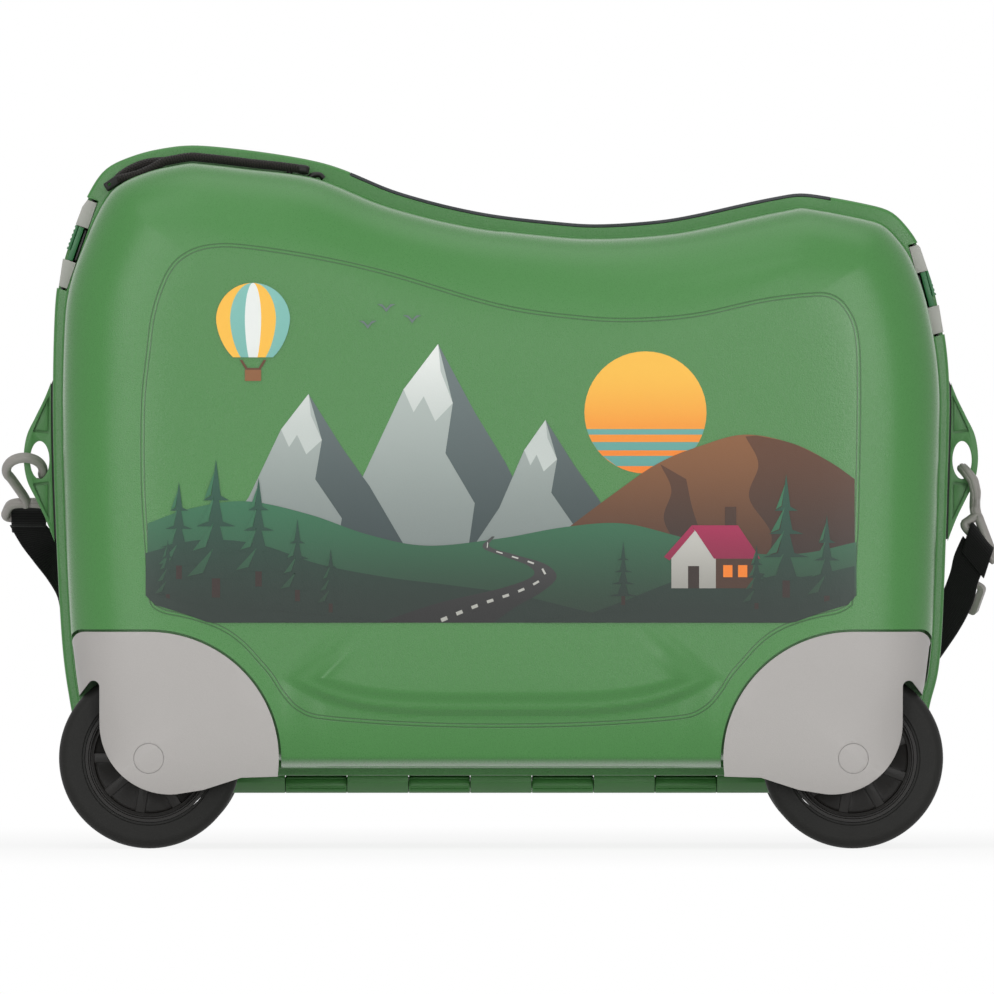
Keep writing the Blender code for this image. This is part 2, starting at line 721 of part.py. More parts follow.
def build_wheel(side_name, end_name, rubber, plastic, steel):
    """One wheel: tyre, spoked hub and the axle that they turn on"""
    side, end = SIDES[side_name], ENDS[end_name]
    name = f"{side_name}_{end_name}"
    centre = axle_point(side, end, 0.0)
    inner, outer = WHEEL_INNER, WHEEL_INNER + WHEEL_WIDTH
    seat = WHEEL_RADIUS - TYRE_THICKNESS
    tread = WHEEL_RADIUS / math.cos(math.pi / WHEEL_SEGMENTS)
    shoulder = tread - TYRE_SHOULDER
    profile = [(seat, inner + RUNNING)]
    profile += [(r, y) for r, y in arc((shoulder, inner + TYRE_SHOULDER), TYRE_SHOULDER, -90, 0, 2)]
    profile += [(r, y) for r, y in arc((shoulder, outer - TYRE_SHOULDER), TYRE_SHOULDER, 0, 90, 2)]
    profile += [(seat + TYRE_LIP, outer), (seat + TYRE_LIP, outer - RUNNING), (seat, outer - RUNNING)]
    tyre = add_object("tyre_" + name, revolve([(r, side * y) for r, y in profile], centre), rubber)
    hub_radius = seat - TOUCH
    hub_outer = outer - RUNNING
    bore = AXLE_RADIUS + TOUCH
    profile = [(bore, inner + RUNNING / 2), (hub_radius, inner + RUNNING), (hub_radius, hub_outer),
               (bore, hub_outer)]
    hub = add_object("wheel_hub_" + name, revolve([(r, side * y) for r, y in profile], centre), plastic)
    pockets = []
    for number in range(HUB_SPOKES):
        outline = []
        step = 360 / HUB_SPOKES
        for radius, turns in ((HUB_BOSS_RADIUS, (0, 1)), (hub_radius - HUB_RIM, (2, 1, 0))):
            half = step / 2 - math.degrees(math.asin(SPOKE_WIDTH / 2 / radius))
            span = max(turns)
            outline += [(radius, number * step - half + 2 * half * turn / span) for turn in turns]
        points = [(centre.x + r * math.cos(math.radians(a)), centre.z + r * math.sin(math.radians(a)))
                  for r, a in outline]
        pockets.append(prism(points, side * (inner + HUB_WEB), side * (outer + RUNNING)))
    cut(hub, add_object("pockets", gather(pockets)))
    for piece in (tyre, hub):
        set_origin(piece, axle_point(side, end, (inner + outer) / 2))
    end_depth = cover_face() - CAP_THICKNESS - 2 * TOUCH
    round_bar("axle_" + name, side, end, AXLE_RADIUS, axle_inner(), end_depth, 14, steel)


def build_latch(end_name, grey, green, steel):
    """One latch: lever, its base plate, the ribbed slider, the pivot pin and the keeper"""
    frame = latch_frame(end_name)
    pivot = frame @ Vector((0, LATCH_PIVOT_Y, -LATCH_PIVOT_SINK))
    half = LATCH_LENGTH / 2
    inner = half - LATCH_ARM
    floor = -LATCH_THICKNESS
    lever = add_object("latch_lever_" + end_name, gather(
        [box_in(frame, (low, -LATCH_FRONT, floor), (high, LATCH_PIVOT_Y, WALL))
         for low, high in ((-half, -inner), (inner, half))]), grey)
    combine(lever, rim_band("band"), "INTERSECT")
    fuse(lever, latch_bar(end_name, "barrel", LATCH_BARREL, LATCH_LENGTH - 2 * TOUCH, 14))
    cut(lever, latch_bar(end_name, "bore", LATCH_PIN_RADIUS + TOUCH, LATCH_LENGTH + WALL))
    plate_end = LATCH_PIVOT_Y - LATCH_BARREL - RUNNING / 2
    plate_top = floor + KEEPER_HEIGHT + LATCH_PLATE + RUNNING / 2
    plate = add_object("latch_base_" + end_name, box_in(
        frame, (-inner + TOUCH, -LATCH_FRONT, plate_top - LATCH_PLATE),
        (inner - TOUCH, plate_end, plate_top)), green)
    upper = -ENDS[end_name] * (inner - TOUCH - SLIDER_LENGTH / 2)
    slider_low = upper - SLIDER_LENGTH / 2
    slider = add_object("latch_slider_" + end_name, box_in(
        frame, (slider_low, -LATCH_FRONT + TOUCH, plate_top + TOUCH),
        (slider_low + SLIDER_LENGTH, plate_end, WALL)), green)
    combine(slider, rim_band("band"), "INTERSECT")
    pitch = SLIDER_LENGTH / (2 * SLIDER_RIBS + 1)
    grooves = []
    for number in range(SLIDER_RIBS):
        start = slider_low + (2 * number + 1) * pitch
        surface = -(abs(start + pitch / 2) / LATCH_LENGTH) ** 2 * LATCH_SAG
        grooves.append(box_in(frame, (start, -RIM_DEPTH, surface - SLIDER_RIB_HEIGHT),
                              (start + pitch, RIM_DEPTH, WALL)))
    cut(slider, add_object("grooves", gather(grooves)))
    keeper = add_object("latch_keeper_" + end_name, box_in(
        frame, (-inner + RUNNING, -LATCH_FRONT + LATCH_PLATE, floor),
        (inner - RUNNING, -LATCH_FRONT + 3 * LATCH_PLATE, floor + KEEPER_HEIGHT)), steel)
    latch_bar(end_name, "latch_pin_" + end_name, LATCH_PIN_RADIUS, latch_pin_length(), 10, steel)
    for piece in (lever, plate, slider):
        set_origin(piece, pivot)
    set_origin(keeper, (0, 0, hinge_axis_z()))


def build_seat_strip(side_name, material):
    """The dark grip strip let into the top of one shell's rim"""
    side = SIDES[side_name]
    strip = seat_cutter(0.0, SEAT_FROM_X, SEAT_TO_X)
    strip.name = "seat_strip_" + side_name
    strip.data.materials.append(material)
    outline = prism([(p.x, p.y) for p in seam_outline()], side * TOUCH, side * (RIM_DEPTH - RUNNING))
    return combine(strip, add_object("band", outline), "INTERSECT")


def build_lug(end_name, material):
    """A strap lug: a low arch with an eye, two sunk panels and a tenon in the rim"""
    end = ENDS[end_name]
    edge = rim_place(end, LUG_CENTRE).translation.x
    root = -STEP_SIDE
    half = LUG_HEIGHT / 2
    shape = [(-1.0, root), (-1.0, 0.0), (-0.72, 0.30), (-0.48, 0.62), (-0.26, 0.90), (0.0, 1.0),
             (0.26, 0.90), (0.48, 0.62), (0.72, 0.30), (1.0, 0.0), (1.0, root)]
    outline = [(edge + end * (out * LUG_REACH if out > 0 else out), LUG_CENTRE + along * half)
               for along, out in shape]
    near, far = LUG_Y - LUG_THICKNESS / 2, LUG_Y + LUG_THICKNESS / 2
    lug = add_object("strap_lug_" + end_name, prism(outline, near, far), material)
    cut(lug, rim_band("band", TOUCH))
    fuse(lug, tenon(end_name, 0.0, LUG_BORDER))
    eye_x, eye_z = lug_eye(end_name)
    eye = [(eye_x + LUG_HOLE_WIDTH / 2 * math.cos(a), eye_z + LUG_HOLE_HEIGHT / 2 * math.sin(a))
           for a in (math.tau * i / 16 for i in range(16))]
    cut(lug, add_object("eye", prism(eye, near - WALL, far + WALL)))
    for way in (-1, 1):
        base = way * (LUG_HOLE_HEIGHT / 2 + LUG_BORDER * 1.2)
        tip = way * (half - LUG_BORDER * 5)
        mid = (base + tip) / 2
        panel = [(LUG_BORDER, base), (LUG_BORDER, tip), (LUG_REACH * 0.42, mid), (LUG_REACH * 0.62, base)]
        points = [(edge + end * out, LUG_CENTRE + along) for out, along in panel]
        for depth, deep in ((near, 1), (far, -1)):
            cut(lug, add_object("panel", prism(points, depth - deep * WALL, depth + deep * LUG_WEB_SINK)))


def lug_eye(end_name):
    """Centre of a lug's eye in x and z"""
    edge = rim_place(ENDS[end_name], LUG_CENTRE).translation.x
    return edge + ENDS[end_name] * (LUG_REACH - LUG_EYE_EDGE - LUG_HOLE_WIDTH / 2), LUG_CENTRE - 0.0013


def tube(name, points, radius, material=None, closed=False, sides=1):
    """A round bar along a line of points, as a filled curve made into a mesh"""
    data = bpy.data.curves.new(name, "CURVE")
    data.dimensions = "3D"
    data.bevel_depth = radius
    data.bevel_resolution = sides
    data.use_fill_caps = not closed
    spline = data.splines.new("POLY")
    spline.points.add(len(points) - 1)
    for knot, point in zip(spline.points, points):
        knot.co = (*point, 1.0)
    spline.use_cyclic_u = closed
    thing = bpy.data.objects.new(name + " curve", data)
    bpy.context.collection.objects.link(thing)
    bpy.context.view_layer.update()
    evaluated = thing.evaluated_get(bpy.context.evaluated_depsgraph_get())
    bm = bmesh.new()
    bm.from_mesh(bpy.data.meshes.new_from_object(evaluated))
    bmesh.ops.remove_doubles(bm, verts=bm.verts, dist=1e-6)
    bpy.data.objects.remove(thing)
    return add_object(name, bm, material)


def hook_frame(end_name):
    """Frame of a strap hook: X across it, Y up towards its ring, Z through it, at the ring's centre"""
    eye_x, eye_z = lug_eye(end_name)
    if end_name == "nose":
        lean = math.radians(HOOK_LEAN)
        up = Vector((0, -math.cos(lean), math.sin(lean)))
        across = Vector((1, 0, 0))
        centre = Vector((eye_x - HOOK_RING + HOOK_NOSE_SHIFT, LUG_Y, eye_z - HOOK_NOSE_DROP))
    else:
        lean = math.radians(HOOK_TAIL_LEAN)
        up = Vector((-math.sin(lean), 0, math.cos(lean)))
        across = Vector((0, 1, 0))
        centre = Vector((eye_x, LUG_Y, eye_z - HOOK_TAIL_DROP)) - up * HOOK_RING
    frame = Matrix((across, up, across.cross(up))).transposed().to_4x4()
    frame.translation = centre
    return frame


def build_hook(end_name, plastic):
    """A strap hook: an open ring, a neck and the bar that the strap goes round, with its gate"""
    frame = hook_frame(end_name)
    path = arc((0, 0), HOOK_RING, HOOK_TIP_ANGLE, HOOK_BACK_ANGLE, 13)
    path += [(-0.20 * HOOK_RING, -0.78 * HOOK_NECK), (0, -HOOK_NECK), (0, -HOOK_NECK - HOOK_THICKNESS)]
    radius = HOOK_THICKNESS / 2
    hook = tube("strap_hook_" + end_name, [frame @ Vector((u, v, 0)) for u, v in path], radius, plastic)
    top = -HOOK_NECK - radius
    bar = -HOOK_LENGTH
    shape = [(HOOK_NECK_HALF / HOOK_BAR_HALF, top), (0.92, 0.75 * bar), (1.0, 0.92 * bar), (0.85, bar)]
    loop = [(share * HOOK_BAR_HALF, v) for share, v in shape]
    loop += [(-u, v) for u, v in reversed(loop)]
    fuse(hook, tube("loop", [frame @ Vector((u, v, 0)) for u, v in loop], radius, closed=True))
    tip = math.radians(HOOK_TIP_ANGLE)
    root = Vector((GATE_ROOT_U, -GATE_ROOT_V, 0))
    goal = Vector((HOOK_RING * math.cos(tip), HOOK_RING * math.sin(tip), 0))
    reach = (goal - root).length - RUNNING
    finish_point = root + (goal - root).normalized() * reach
    bend = (root + finish_point) / 2 + Vector((GATE_THICKNESS / 4, -GATE_THICKNESS / 4, 0))
    gate = tube("hook_gate_" + end_name, [frame @ p for p in (root, bend, finish_point)],
                GATE_THICKNESS / 2, plastic)
    swing = Vector((HOOK_RING, 0, 0)) if end_name == "nose" else Vector((0, HOOK_RING, 0))
    set_origin(hook, frame @ swing)
    set_origin(gate, frame @ root)


def strap_route():
    """Middle line of the strap and the way its width points, from the nose hook to the tail hook"""
    # each knot: share of the half length, millimetres past it, from the seam, above the lugs
    knots = [(-1, -16.6, 32.2, -34.1, (1, 0, 0)), (-1, -16.0, 33.2, -42.8, (1, 0, 0)),
             (-1, -9.7, 37.5, -55.8, (0.9, 0.3, 0.3)), (-1, -2.7, 44.0, -66.3, (0.5, 0.5, 0.6)),
             (-1, 2.2, 54.0, -75.8, (0.1, 0.3, 0.9)), (-1, 3.5, 68.0, -84.8, (0, 0.2, 1)),
             (-1, 5.8, 85.0, -93.8, (0, 0.1, 1)), (-1, 14.8, 102.0, -102.8, (0, 0, 1)),
             (-1, 33.8, 112.0, -113.8, (0, 0, 1)), (-0.738, 0.0, 117.5, -127.8, (0, 0, 1)),
             (-0.533, 0.0, 120.0, -144.8, (0, 0, 1)), (-0.246, 0.0, 121.5, -157.8, (0, 0, 1)),
             (0.062, 0.0, 122.0, -161.8, (0, 0, 1)), (0.369, 0.0, 121.5, -158.8, (0, 0, 1)),
             (0.615, 0.0, 119.5, -148.8, (0, 0, 1)), (0.8, 0.0, 116.0, -136.8, (0, 0, 1)),
             (1, -23.8, 106.0, -126.8, (0, 0, 1)), (1, -9.3, 90.0, -119.8, (0, 0, 1)),
             (1, -3.8, 70.0, -113.3, (0, 0.2, 1)), (1, -1.3, 52.0, -106.8, (0.1, 0.4, 0.9)),
             (1, 4.2, 36.0, -96.8, (0.2, 0.7, 0.6)), (1, 11.7, 20.0, -83.8, (0.1, 1, 0.3)),
             (1, 17.0, 8.5, -71.3, (0, 1, 0.1)), (1, 20.0, 4.7, -61.8, (0, 1, 0)),
             (1, 21.0, 4.6, -55.8, (0, 1, 0))]
    half = CASE_LENGTH / 2
    return [((share * half + past * MM, deep * MM, LUG_CENTRE + above * MM), way)
            for share, past, deep, above, way in knots]


def strap_lines():
    """Places along the strap: its middle, its direction and the way its width points"""
    share = 0.05
    knots = [Vector((*point, *(Vector(way).normalized() * share))) for point, way in strap_route()]
    line = smooth_line(knots, STRAP_POINTS)
    lines = []
    for i, knot in enumerate(line):
        before = Vector(line[max(i - 1, 0)][:3])
        after = Vector(line[min(i + 1, STRAP_POINTS - 1)][:3])
        along = (after - before).normalized()
        way = Vector(knot[3:])
        way = (way - along * way.dot(along)).normalized()
        lines.append((Vector(knot[:3]), along, way))
    return lines


def build_strap(webbing, plastic):
    """The shoulder strap behind the case and the adjuster near its tail hook"""
    rings = []
    for point, along, way in strap_lines():
        up = along.cross(way)
        corners = ((-1, -1), (1, -1), (1, 1), (-1, 1))
        rings.append([point + way * (a * STRAP_WIDTH / 2) + up * (b * STRAP_THICKNESS / 2)
                      for a, b in corners])
    add_object("shoulder_strap", loft(rings), webbing)
    place = int(STRAP_POINTS * ADJUSTER_SHARE)
    point, along, way = strap_lines()[place]
    up = way.cross(along)
    if up.x < 0:
        up = -up
    frame = Matrix((way, along, up)).transposed().to_4x4()
    frame.translation = point + up * (STRAP_THICKNESS / 2 + ADJUSTER_THICKNESS / 2 + RUNNING)
    half = Vector((STRAP_WIDTH / 2 + ADJUSTER_RIM, ADJUSTER_LENGTH / 2, ADJUSTER_THICKNESS / 2))
    adjuster = add_object("strap_adjuster", box_in(frame, -half, half), plastic)
    slots = []
    for way_along in (-1, 1):
        middle = way_along * ADJUSTER_LENGTH * 0.22
        reach = ADJUSTER_LENGTH * 0.10
        slots.append(box_in(frame, (-STRAP_WIDTH / 2, middle - reach, -ADJUSTER_THICKNESS),
                            (STRAP_WIDTH / 2, middle + reach, ADJUSTER_THICKNESS)))
    cut(adjuster, add_object("slots", gather(slots)))


def grip_path(side, row):
    """Middle line of one strand of a rope grip, along the foot of the rim over the nose horn"""
    outline = seam_outline(count=240)
    normals = outward(outline)
    picked = [(p, n) for p, n in zip(outline, normals)
              if GRIP_FROM_X <= p.x <= GRIP_TO_X and p.y > SEAT_HEIGHT]
    depth = side * (RIM_DEPTH + RUNNING + GRIP_RADIUS + row * GRIP_SPACING)
    path = []
    for i in range(GRIP_STEPS):
        point, normal = picked[round(i * (len(picked) - 1) / (GRIP_STEPS - 1))]
        lift = GRIP_RADIUS + 2 * TOUCH - rim_step(normal)
        path.append(Vector((point.x + normal.x * lift, depth, point.y + normal.y * lift)))
    return path


def build_grip(side_name, rope, plastic):
    """A rope grip of two strands, with a ferrule and an eyelet at each end"""
    side = SIDES[side_name]
    strands = [grip_path(side, row) for row in (0, 1)]
    grip = tube("rope_grip_" + side_name, strands[0], GRIP_RADIUS, rope)
    fuse(grip, tube("strand", strands[1], GRIP_RADIUS))
    for place, index, inward in (("front", 0, 1), ("rear", -1, -2)):
        frame = strand_end(strands, index, inward)
        wide = GRIP_SPACING / 2 + GRIP_RADIUS + TOUCH
        fuse(grip, add_object("crimp", box_in(frame, (-CRIMP_LENGTH, -wide, -GRIP_RADIUS - TOUCH),
                                              (-TOUCH, wide, GRIP_RADIUS + TOUCH))))
        post = Vector((0, GRIP_SPACING / 2 + ANCHOR_WIDTH, GRIP_RADIUS + TOUCH))
        name = f"grip_anchor_{side_name}_{place}"
        anchor = add_object(name, box_in(frame, (TOUCH / 2, -post.y, -2 * post.z),
                                         (ANCHOR_LENGTH, post.y, post.z)), plastic)
        cut(anchor, add_object("seat", loft(bulge_rings(side, -TOUCH, 0.0))))


def strand_end(strands, index, inward):
    """Frame at one end of a rope grip: X out of its end, Y across the strands"""
    along = (strands[0][index] - strands[0][inward]).normalized()
    across = Vector((0, 1, 0))
    out = along.cross(across)
    out = out if out.z > 0 else -out
    frame = Matrix((along, across, out)).transposed().to_4x4()
    frame.translation = (strands[0][index] + strands[1][index]) / 2
    return frame


def build_ribbons(webbing, plastic):
    """The crossed packing ribbons inside the base and the buckle that joins them"""
    rings = bulge_rings(1.0, WALL + TOUCH, 0.0, count=OUTLINE_POINTS * 2 // 3, steps=3)
    ribbons = add_object("packing_ribbons", loft(rings), webbing)
    centre_z = (CASE_BOTTOM + SEAT_HEIGHT) / 2
    near, far = RIBBON_DEPTH, RIBBON_DEPTH + RIBBON_THICKNESS
    cross = None
    for way in (-1, 1):
        tilt = Matrix.Rotation(way * math.radians(RIBBON_TILT), 4, "Y")
        turn = Matrix.Translation((0, 0, centre_z)) @ tilt
        bar = add_object("bar", box_in(turn, (-CASE_LENGTH, near, -RIBBON_WIDTH / 2),
                                       (CASE_LENGTH, far, RIBBON_WIDTH / 2)))
        cross = fuse(cross, bar) if cross else bar
    combine(ribbons, cross, "INTERSECT")
    half = BUCKLE_LENGTH / 2
    low = (-half, near - TOUCH - BUCKLE_THICKNESS, centre_z - half * 0.7)
    high = (half, near - TOUCH, centre_z + half * 0.7)
    add_object("ribbon_buckle", box_in(Matrix(), low, high), plastic)


def build_all():
    """Every sub-part of the case"""
    green = finish("moulded green shell", (0.110, 0.265, 0.090), 0.42)
    bright = finish("latch green", (0.080, 0.300, 0.120), 0.40)
    grey = finish("light grey plastic", (0.440, 0.435, 0.420), 0.45)
    mid_grey = finish("hook grey plastic", (0.320, 0.320, 0.300), 0.48)
    black = finish("black hub plastic", (0.020, 0.020, 0.019), 0.50)
    rubber = finish("tyre rubber", (0.016, 0.016, 0.015), 0.72)
    soft = finish("dark grey soft strip", (0.045, 0.047, 0.050), 0.75)
    webbing = finish("black webbing", (0.010, 0.010, 0.010), 0.90)
    rope = finish("black rope", (0.012, 0.012, 0.011), 0.85)
    steel = finish("zinc plated steel", (0.560, 0.570, 0.580), 0.30, 1.0)
    for side_name in SIDES:
        build_shell(side_name, green)
        build_seat_strip(side_name, soft)
        build_grip(side_name, rope, black)
        for end_name in ENDS:
            build_cover(side_name, end_name, grey)
            build_wheel(side_name, end_name, rubber, black, steel)
    hinge_bar("hinge_pin", HINGE_PIN_RADIUS, material=steel)
    for end_name in ENDS:
        build_latch(end_name, grey, bright, steel)
        build_lug(end_name, green)
        build_hook(end_name, mid_grey)
    build_strap(webbing, mid_grey)
    build_ribbons(webbing, black)


clear_scene()
build_all()
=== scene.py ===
"""The ride-on suitcase, dressed for its picture.

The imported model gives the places. This file adds the moulded shells with their bead and step, the
wheel covers, tyres, latches, lugs, hooks, braided grips, webbing and a printed landscape.
"""
import logging
import math
from dataclasses import dataclass, field
from enum import Enum
from functools import cache
from typing import Optional, Sequence

import bmesh
import bpy
import numpy
from mathutils import Matrix, Vector
from mathutils.bvhtree import BVHTree


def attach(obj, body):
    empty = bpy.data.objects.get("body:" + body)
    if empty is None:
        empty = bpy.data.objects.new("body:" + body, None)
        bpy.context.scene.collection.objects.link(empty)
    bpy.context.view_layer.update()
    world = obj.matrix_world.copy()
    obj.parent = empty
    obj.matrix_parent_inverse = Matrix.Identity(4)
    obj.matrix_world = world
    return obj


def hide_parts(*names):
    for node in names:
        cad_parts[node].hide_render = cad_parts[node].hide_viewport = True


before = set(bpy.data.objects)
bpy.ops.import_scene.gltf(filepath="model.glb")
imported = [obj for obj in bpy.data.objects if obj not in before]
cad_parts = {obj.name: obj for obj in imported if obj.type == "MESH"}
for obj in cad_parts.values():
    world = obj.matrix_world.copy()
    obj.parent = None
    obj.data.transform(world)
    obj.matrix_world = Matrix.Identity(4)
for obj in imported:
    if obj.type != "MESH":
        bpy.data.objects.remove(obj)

LOG = logging.getLogger("ride_on_case")
Point2 = tuple[float, float]
Ring = list[Vector]
Colour = tuple[float, float, float]
Body = bmesh.types.BMesh
Thing = bpy.types.Object
Material = bpy.types.Material
Tree = bpy.types.NodeTree
Node = bpy.types.Node
Socket = bpy.types.NodeSocket

MM = 0.001
WHEEL_X = 0.1904  # from the middle of the case to a wheel's axis
WHEEL_RADIUS = 0.0490
WHEEL_INNER = 0.0570  # from the seam to a wheel's inner side
AXLE_BOSS, AXLE_BORE = 0.0070, 0.0033  # radii of the bosses and bores round the axles
COVER_INNER = 0.0500  # from the seam to a wheel cover's inner side
COVER_LOW = 0.0180  # lower edge of the bulge that the covers carry on
LUG_DEPTH = 0.0046  # from the seam to the middle of the lugs
NOSE_CREST, SEAT_LOW, TAIL_CREST = -0.324, 0.115, 0.3446  # along the case, as shares of its length
BUMP_REACH = 0.0004  # of a bump of full height


class Side(Enum):
    """The two shells, by the way they face along Y."""

    LID = -1
    BASE = 1

    @property
    def label(self) -> str:
        """Name used in pieces and bodies."""
        return self.name.lower()


class End(Enum):
    """The two ends of the case, by the way they face along X."""

    NOSE = -1
    TAIL = 1

    @property
    def label(self) -> str:
        """Name used in pieces and bodies."""
        return self.name.lower()


# Geometry helpers


def smooth(value: float) -> float:
    """Ease a share from 0 to 1, held at both ends."""
    t = min(1.0, max(0.0, value))
    return t * t * (3.0 - 2.0 * t)


def even_points(dense: Sequence[Vector], count: int) -> list[Vector]:
    """Resample a line of points at equal distances.

    Args:
        dense: the line's points.
        count: how many points come back, both ends included.

    Returns:
        The new points.
    """
    reach = [0.0]
    for first, second in zip(dense, dense[1:]):
        reach.append(reach[-1] + (second - first).length)
    result = []
    place = 0
    for i in range(count):
        goal = reach[-1] * i / (count - 1)
        while place < len(reach) - 2 and reach[place + 1] < goal:
            place += 1
        span = reach[place + 1] - reach[place]
        share = (goal - reach[place]) / span if span else 0.0
        result.append(dense[place].lerp(dense[place + 1], share))
    return result


def smooth_line(points: Sequence[Sequence[float]], count: int, closed: bool = False) -> list[Vector]:
    """Evenly spaced points on a smooth curve.

    Args:
        points: what the curve passes through.
        count: how many points come back.
        closed: whether the curve joins up, in which case the last point isn't repeated.

    Returns:
        The new points.
    """
    knots = [Vector(point) for point in points]
    if closed:
        line = [knots[-1]] + knots + knots[:2]
    else:
        line = [2 * knots[0] - knots[1]] + knots + [2 * knots[-1] - knots[-2]]
    dense = []
    for p0, p1, p2, p3 in zip(line, line[1:], line[2:], line[3:]):
        for step in range(16):
            t = step / 16
            dense.append(0.5 * (2 * p1 + (p2 - p0) * t + (2 * p0 - 5 * p1 + 4 * p2 - p3) * t * t
                                + (3 * p1 - p0 - 3 * p2 + p3) * t ** 3))
    dense.append(line[-2])
    if closed:
        return even_points(dense, count + 1)[:-1]
    return even_points(dense, count)


def arc(centre: Point2, radius: float, start: float, end: float, steps: int) -> list[Point2]:
    """Points of a circular arc.

    Args:
        centre: middle of the arc.
        radius: its radius.
        start: first angle in degrees.
        end: last angle in degrees.
        steps: how many chords.

    Returns:
        The points, both ends included.
    """
    turns = [math.radians(start + (end - start) * i / steps) for i in range(steps + 1)]
    return [(centre[0] + radius * math.cos(a), centre[1] + radius * math.sin(a)) for a in turns]


def rounded(outline: Sequence[Point2], radius: float, steps: int = 5) -> list[Point2]:
    """Round the corners of a closed outline.

    Args:
        outline: the corners.
        radius: how far from each corner the rounding starts.
        steps: chords per corner.

    Returns:
        The rounded outline.
    """
    result = []
    total = len(outline)
    for i in range(total):
        before, corner, after = (Vector(outline[(i + k) % total]) for k in (-1, 0, 1))
        cut = min(radius, (before - corner).length / 2.05, (after - corner).length / 2.05)
        first = corner + (before - corner).normalized() * cut
        last = corner + (after - corner).normalized() * cut
        for step in range(steps + 1):
            t = step / steps
            point = first * (1 - t) ** 2 + corner * (2 * t * (1 - t)) + last * t * t
            result.append((point.x, point.y))
    return result


def loft(rings: Sequence[Sequence[Vector]], lengths: Optional[Sequence[float]] = None) -> Body:
    """Extrude one ring of edges through the places of the others and close both ends.

    Args:
        rings: rings with equal counts of points.
        lengths: how far along each ring lies, for a UV map, or None for no map.

    Returns:
        The closed body.
    """
    bm = bmesh.new()
    place = bm.verts.layers.int.new("place")
    row = bm.verts.layers.int.new("row")
    loop = [bm.verts.new(point) for point in rings[0]]
    count = len(loop)
    for i, vert in enumerate(loop):
        vert[place] = i
    edges = [bm.edges.new((loop[i], loop[(i + 1) % count])) for i in range(count)]
    bmesh.ops.contextual_create(bm, geom=edges)
    for number, ring in enumerate(rings[1:], 1):
        made = bmesh.ops.extrude_edge_only(bm, edges=edges)["geom"]
        verts = {item for item in made if isinstance(item, bmesh.types.BMVert)}
        edges = [item for item in made if isinstance(item, bmesh.types.BMEdge)
                 and item.verts[0] in verts and item.verts[1] in verts]
        for vert in verts:
            vert.co = ring[vert[place]]
            vert[row] = number
    bmesh.ops.contextual_create(bm, geom=edges)
    bmesh.ops.recalc_face_normals(bm, faces=bm.faces)

    def order(face: bmesh.types.BMFace) -> int:
        """Number of a face, ring by ring, since the extrusions leave an order that varies."""
        rows, places = zip(*((vert[row], vert[place]) for vert in face.verts))
        if min(rows) == max(rows):
            return rows[0] * count if rows[0] else -1
        wraps = max(places) - min(places) > 1
        return min(rows) * count + (max(places) if wraps else min(places))

    bm.faces.sort(key=order)
    bm.faces.index_update()
    if lengths:
        layer = bm.loops.layers.uv.new("UVMap")
        for face in bm.faces:
            places = [corner.vert[place] for corner in face.loops]
            wraps = max(places) - min(places) > count / 2
            for corner, around in zip(face.loops, places):
                turn = around + count if wraps and around < count / 2 else around
                corner[layer].uv = (turn / count, lengths[corner.vert[row]])
    return bm


def prism(outline: Sequence[Point2], near: float, far: float) -> Body:
    """A body between two depths along Y, from an outline of (x, z)."""
    return loft([[Vector((x, y, z)) for x, z in outline] for y in (near, far)])


def box_in(place: Matrix, low: Sequence[float], high: Sequence[float]) -> Body:
    """A box given by two corners in a local frame."""
    bm = bmesh.new()
    size = Vector(high) - Vector(low)
    middle = (Vector(high) + Vector(low)) / 2
    bmesh.ops.create_cube(bm, size=1.0, matrix=place @ Matrix.Translation(middle)
                          @ Matrix.Diagonal((*size, 1.0)))
    return bm


def bar(start: Vector, end: Vector, radius: float, segments: int = 32) -> Body:
    """A round bar between two points."""
    bm = bmesh.new()
    turn = Vector((0, 0, 1)).rotation_difference((end - start).normalized()).to_matrix().to_4x4()
    bmesh.ops.create_cone(bm, cap_ends=True, segments=segments, radius1=radius, radius2=radius,
                          depth=(end - start).length, matrix=Matrix.Translation((start + end) / 2) @ turn)
    return bm


def turned(profile: Sequence[Point2], centre: Vector, steps: int = 96) -> Body:
    """Spin a closed profile of (radius, y) about a wheel's axis.

    Args:
        profile: corners of the section.
        centre: a point on the axis, whose y is added to the profile's.
        steps: how many steps the full turn has.

    Returns:
        The ring.
    """
    bm = bmesh.new()
    verts = [bm.verts.new((centre.x + r, centre.y + y, centre.z)) for r, y in profile]
    edges = [bm.edges.new((verts[i - 1], verts[i])) for i in range(len(verts))]
    bmesh.ops.spin(bm, geom=verts + edges, cent=centre, axis=(0, 1, 0), angle=math.tau,
                   steps=steps, use_merge=True)
    bmesh.ops.remove_doubles(bm, verts=bm.verts, dist=1e-7)
    bmesh.ops.recalc_face_normals(bm, faces=bm.faces)
    return bm


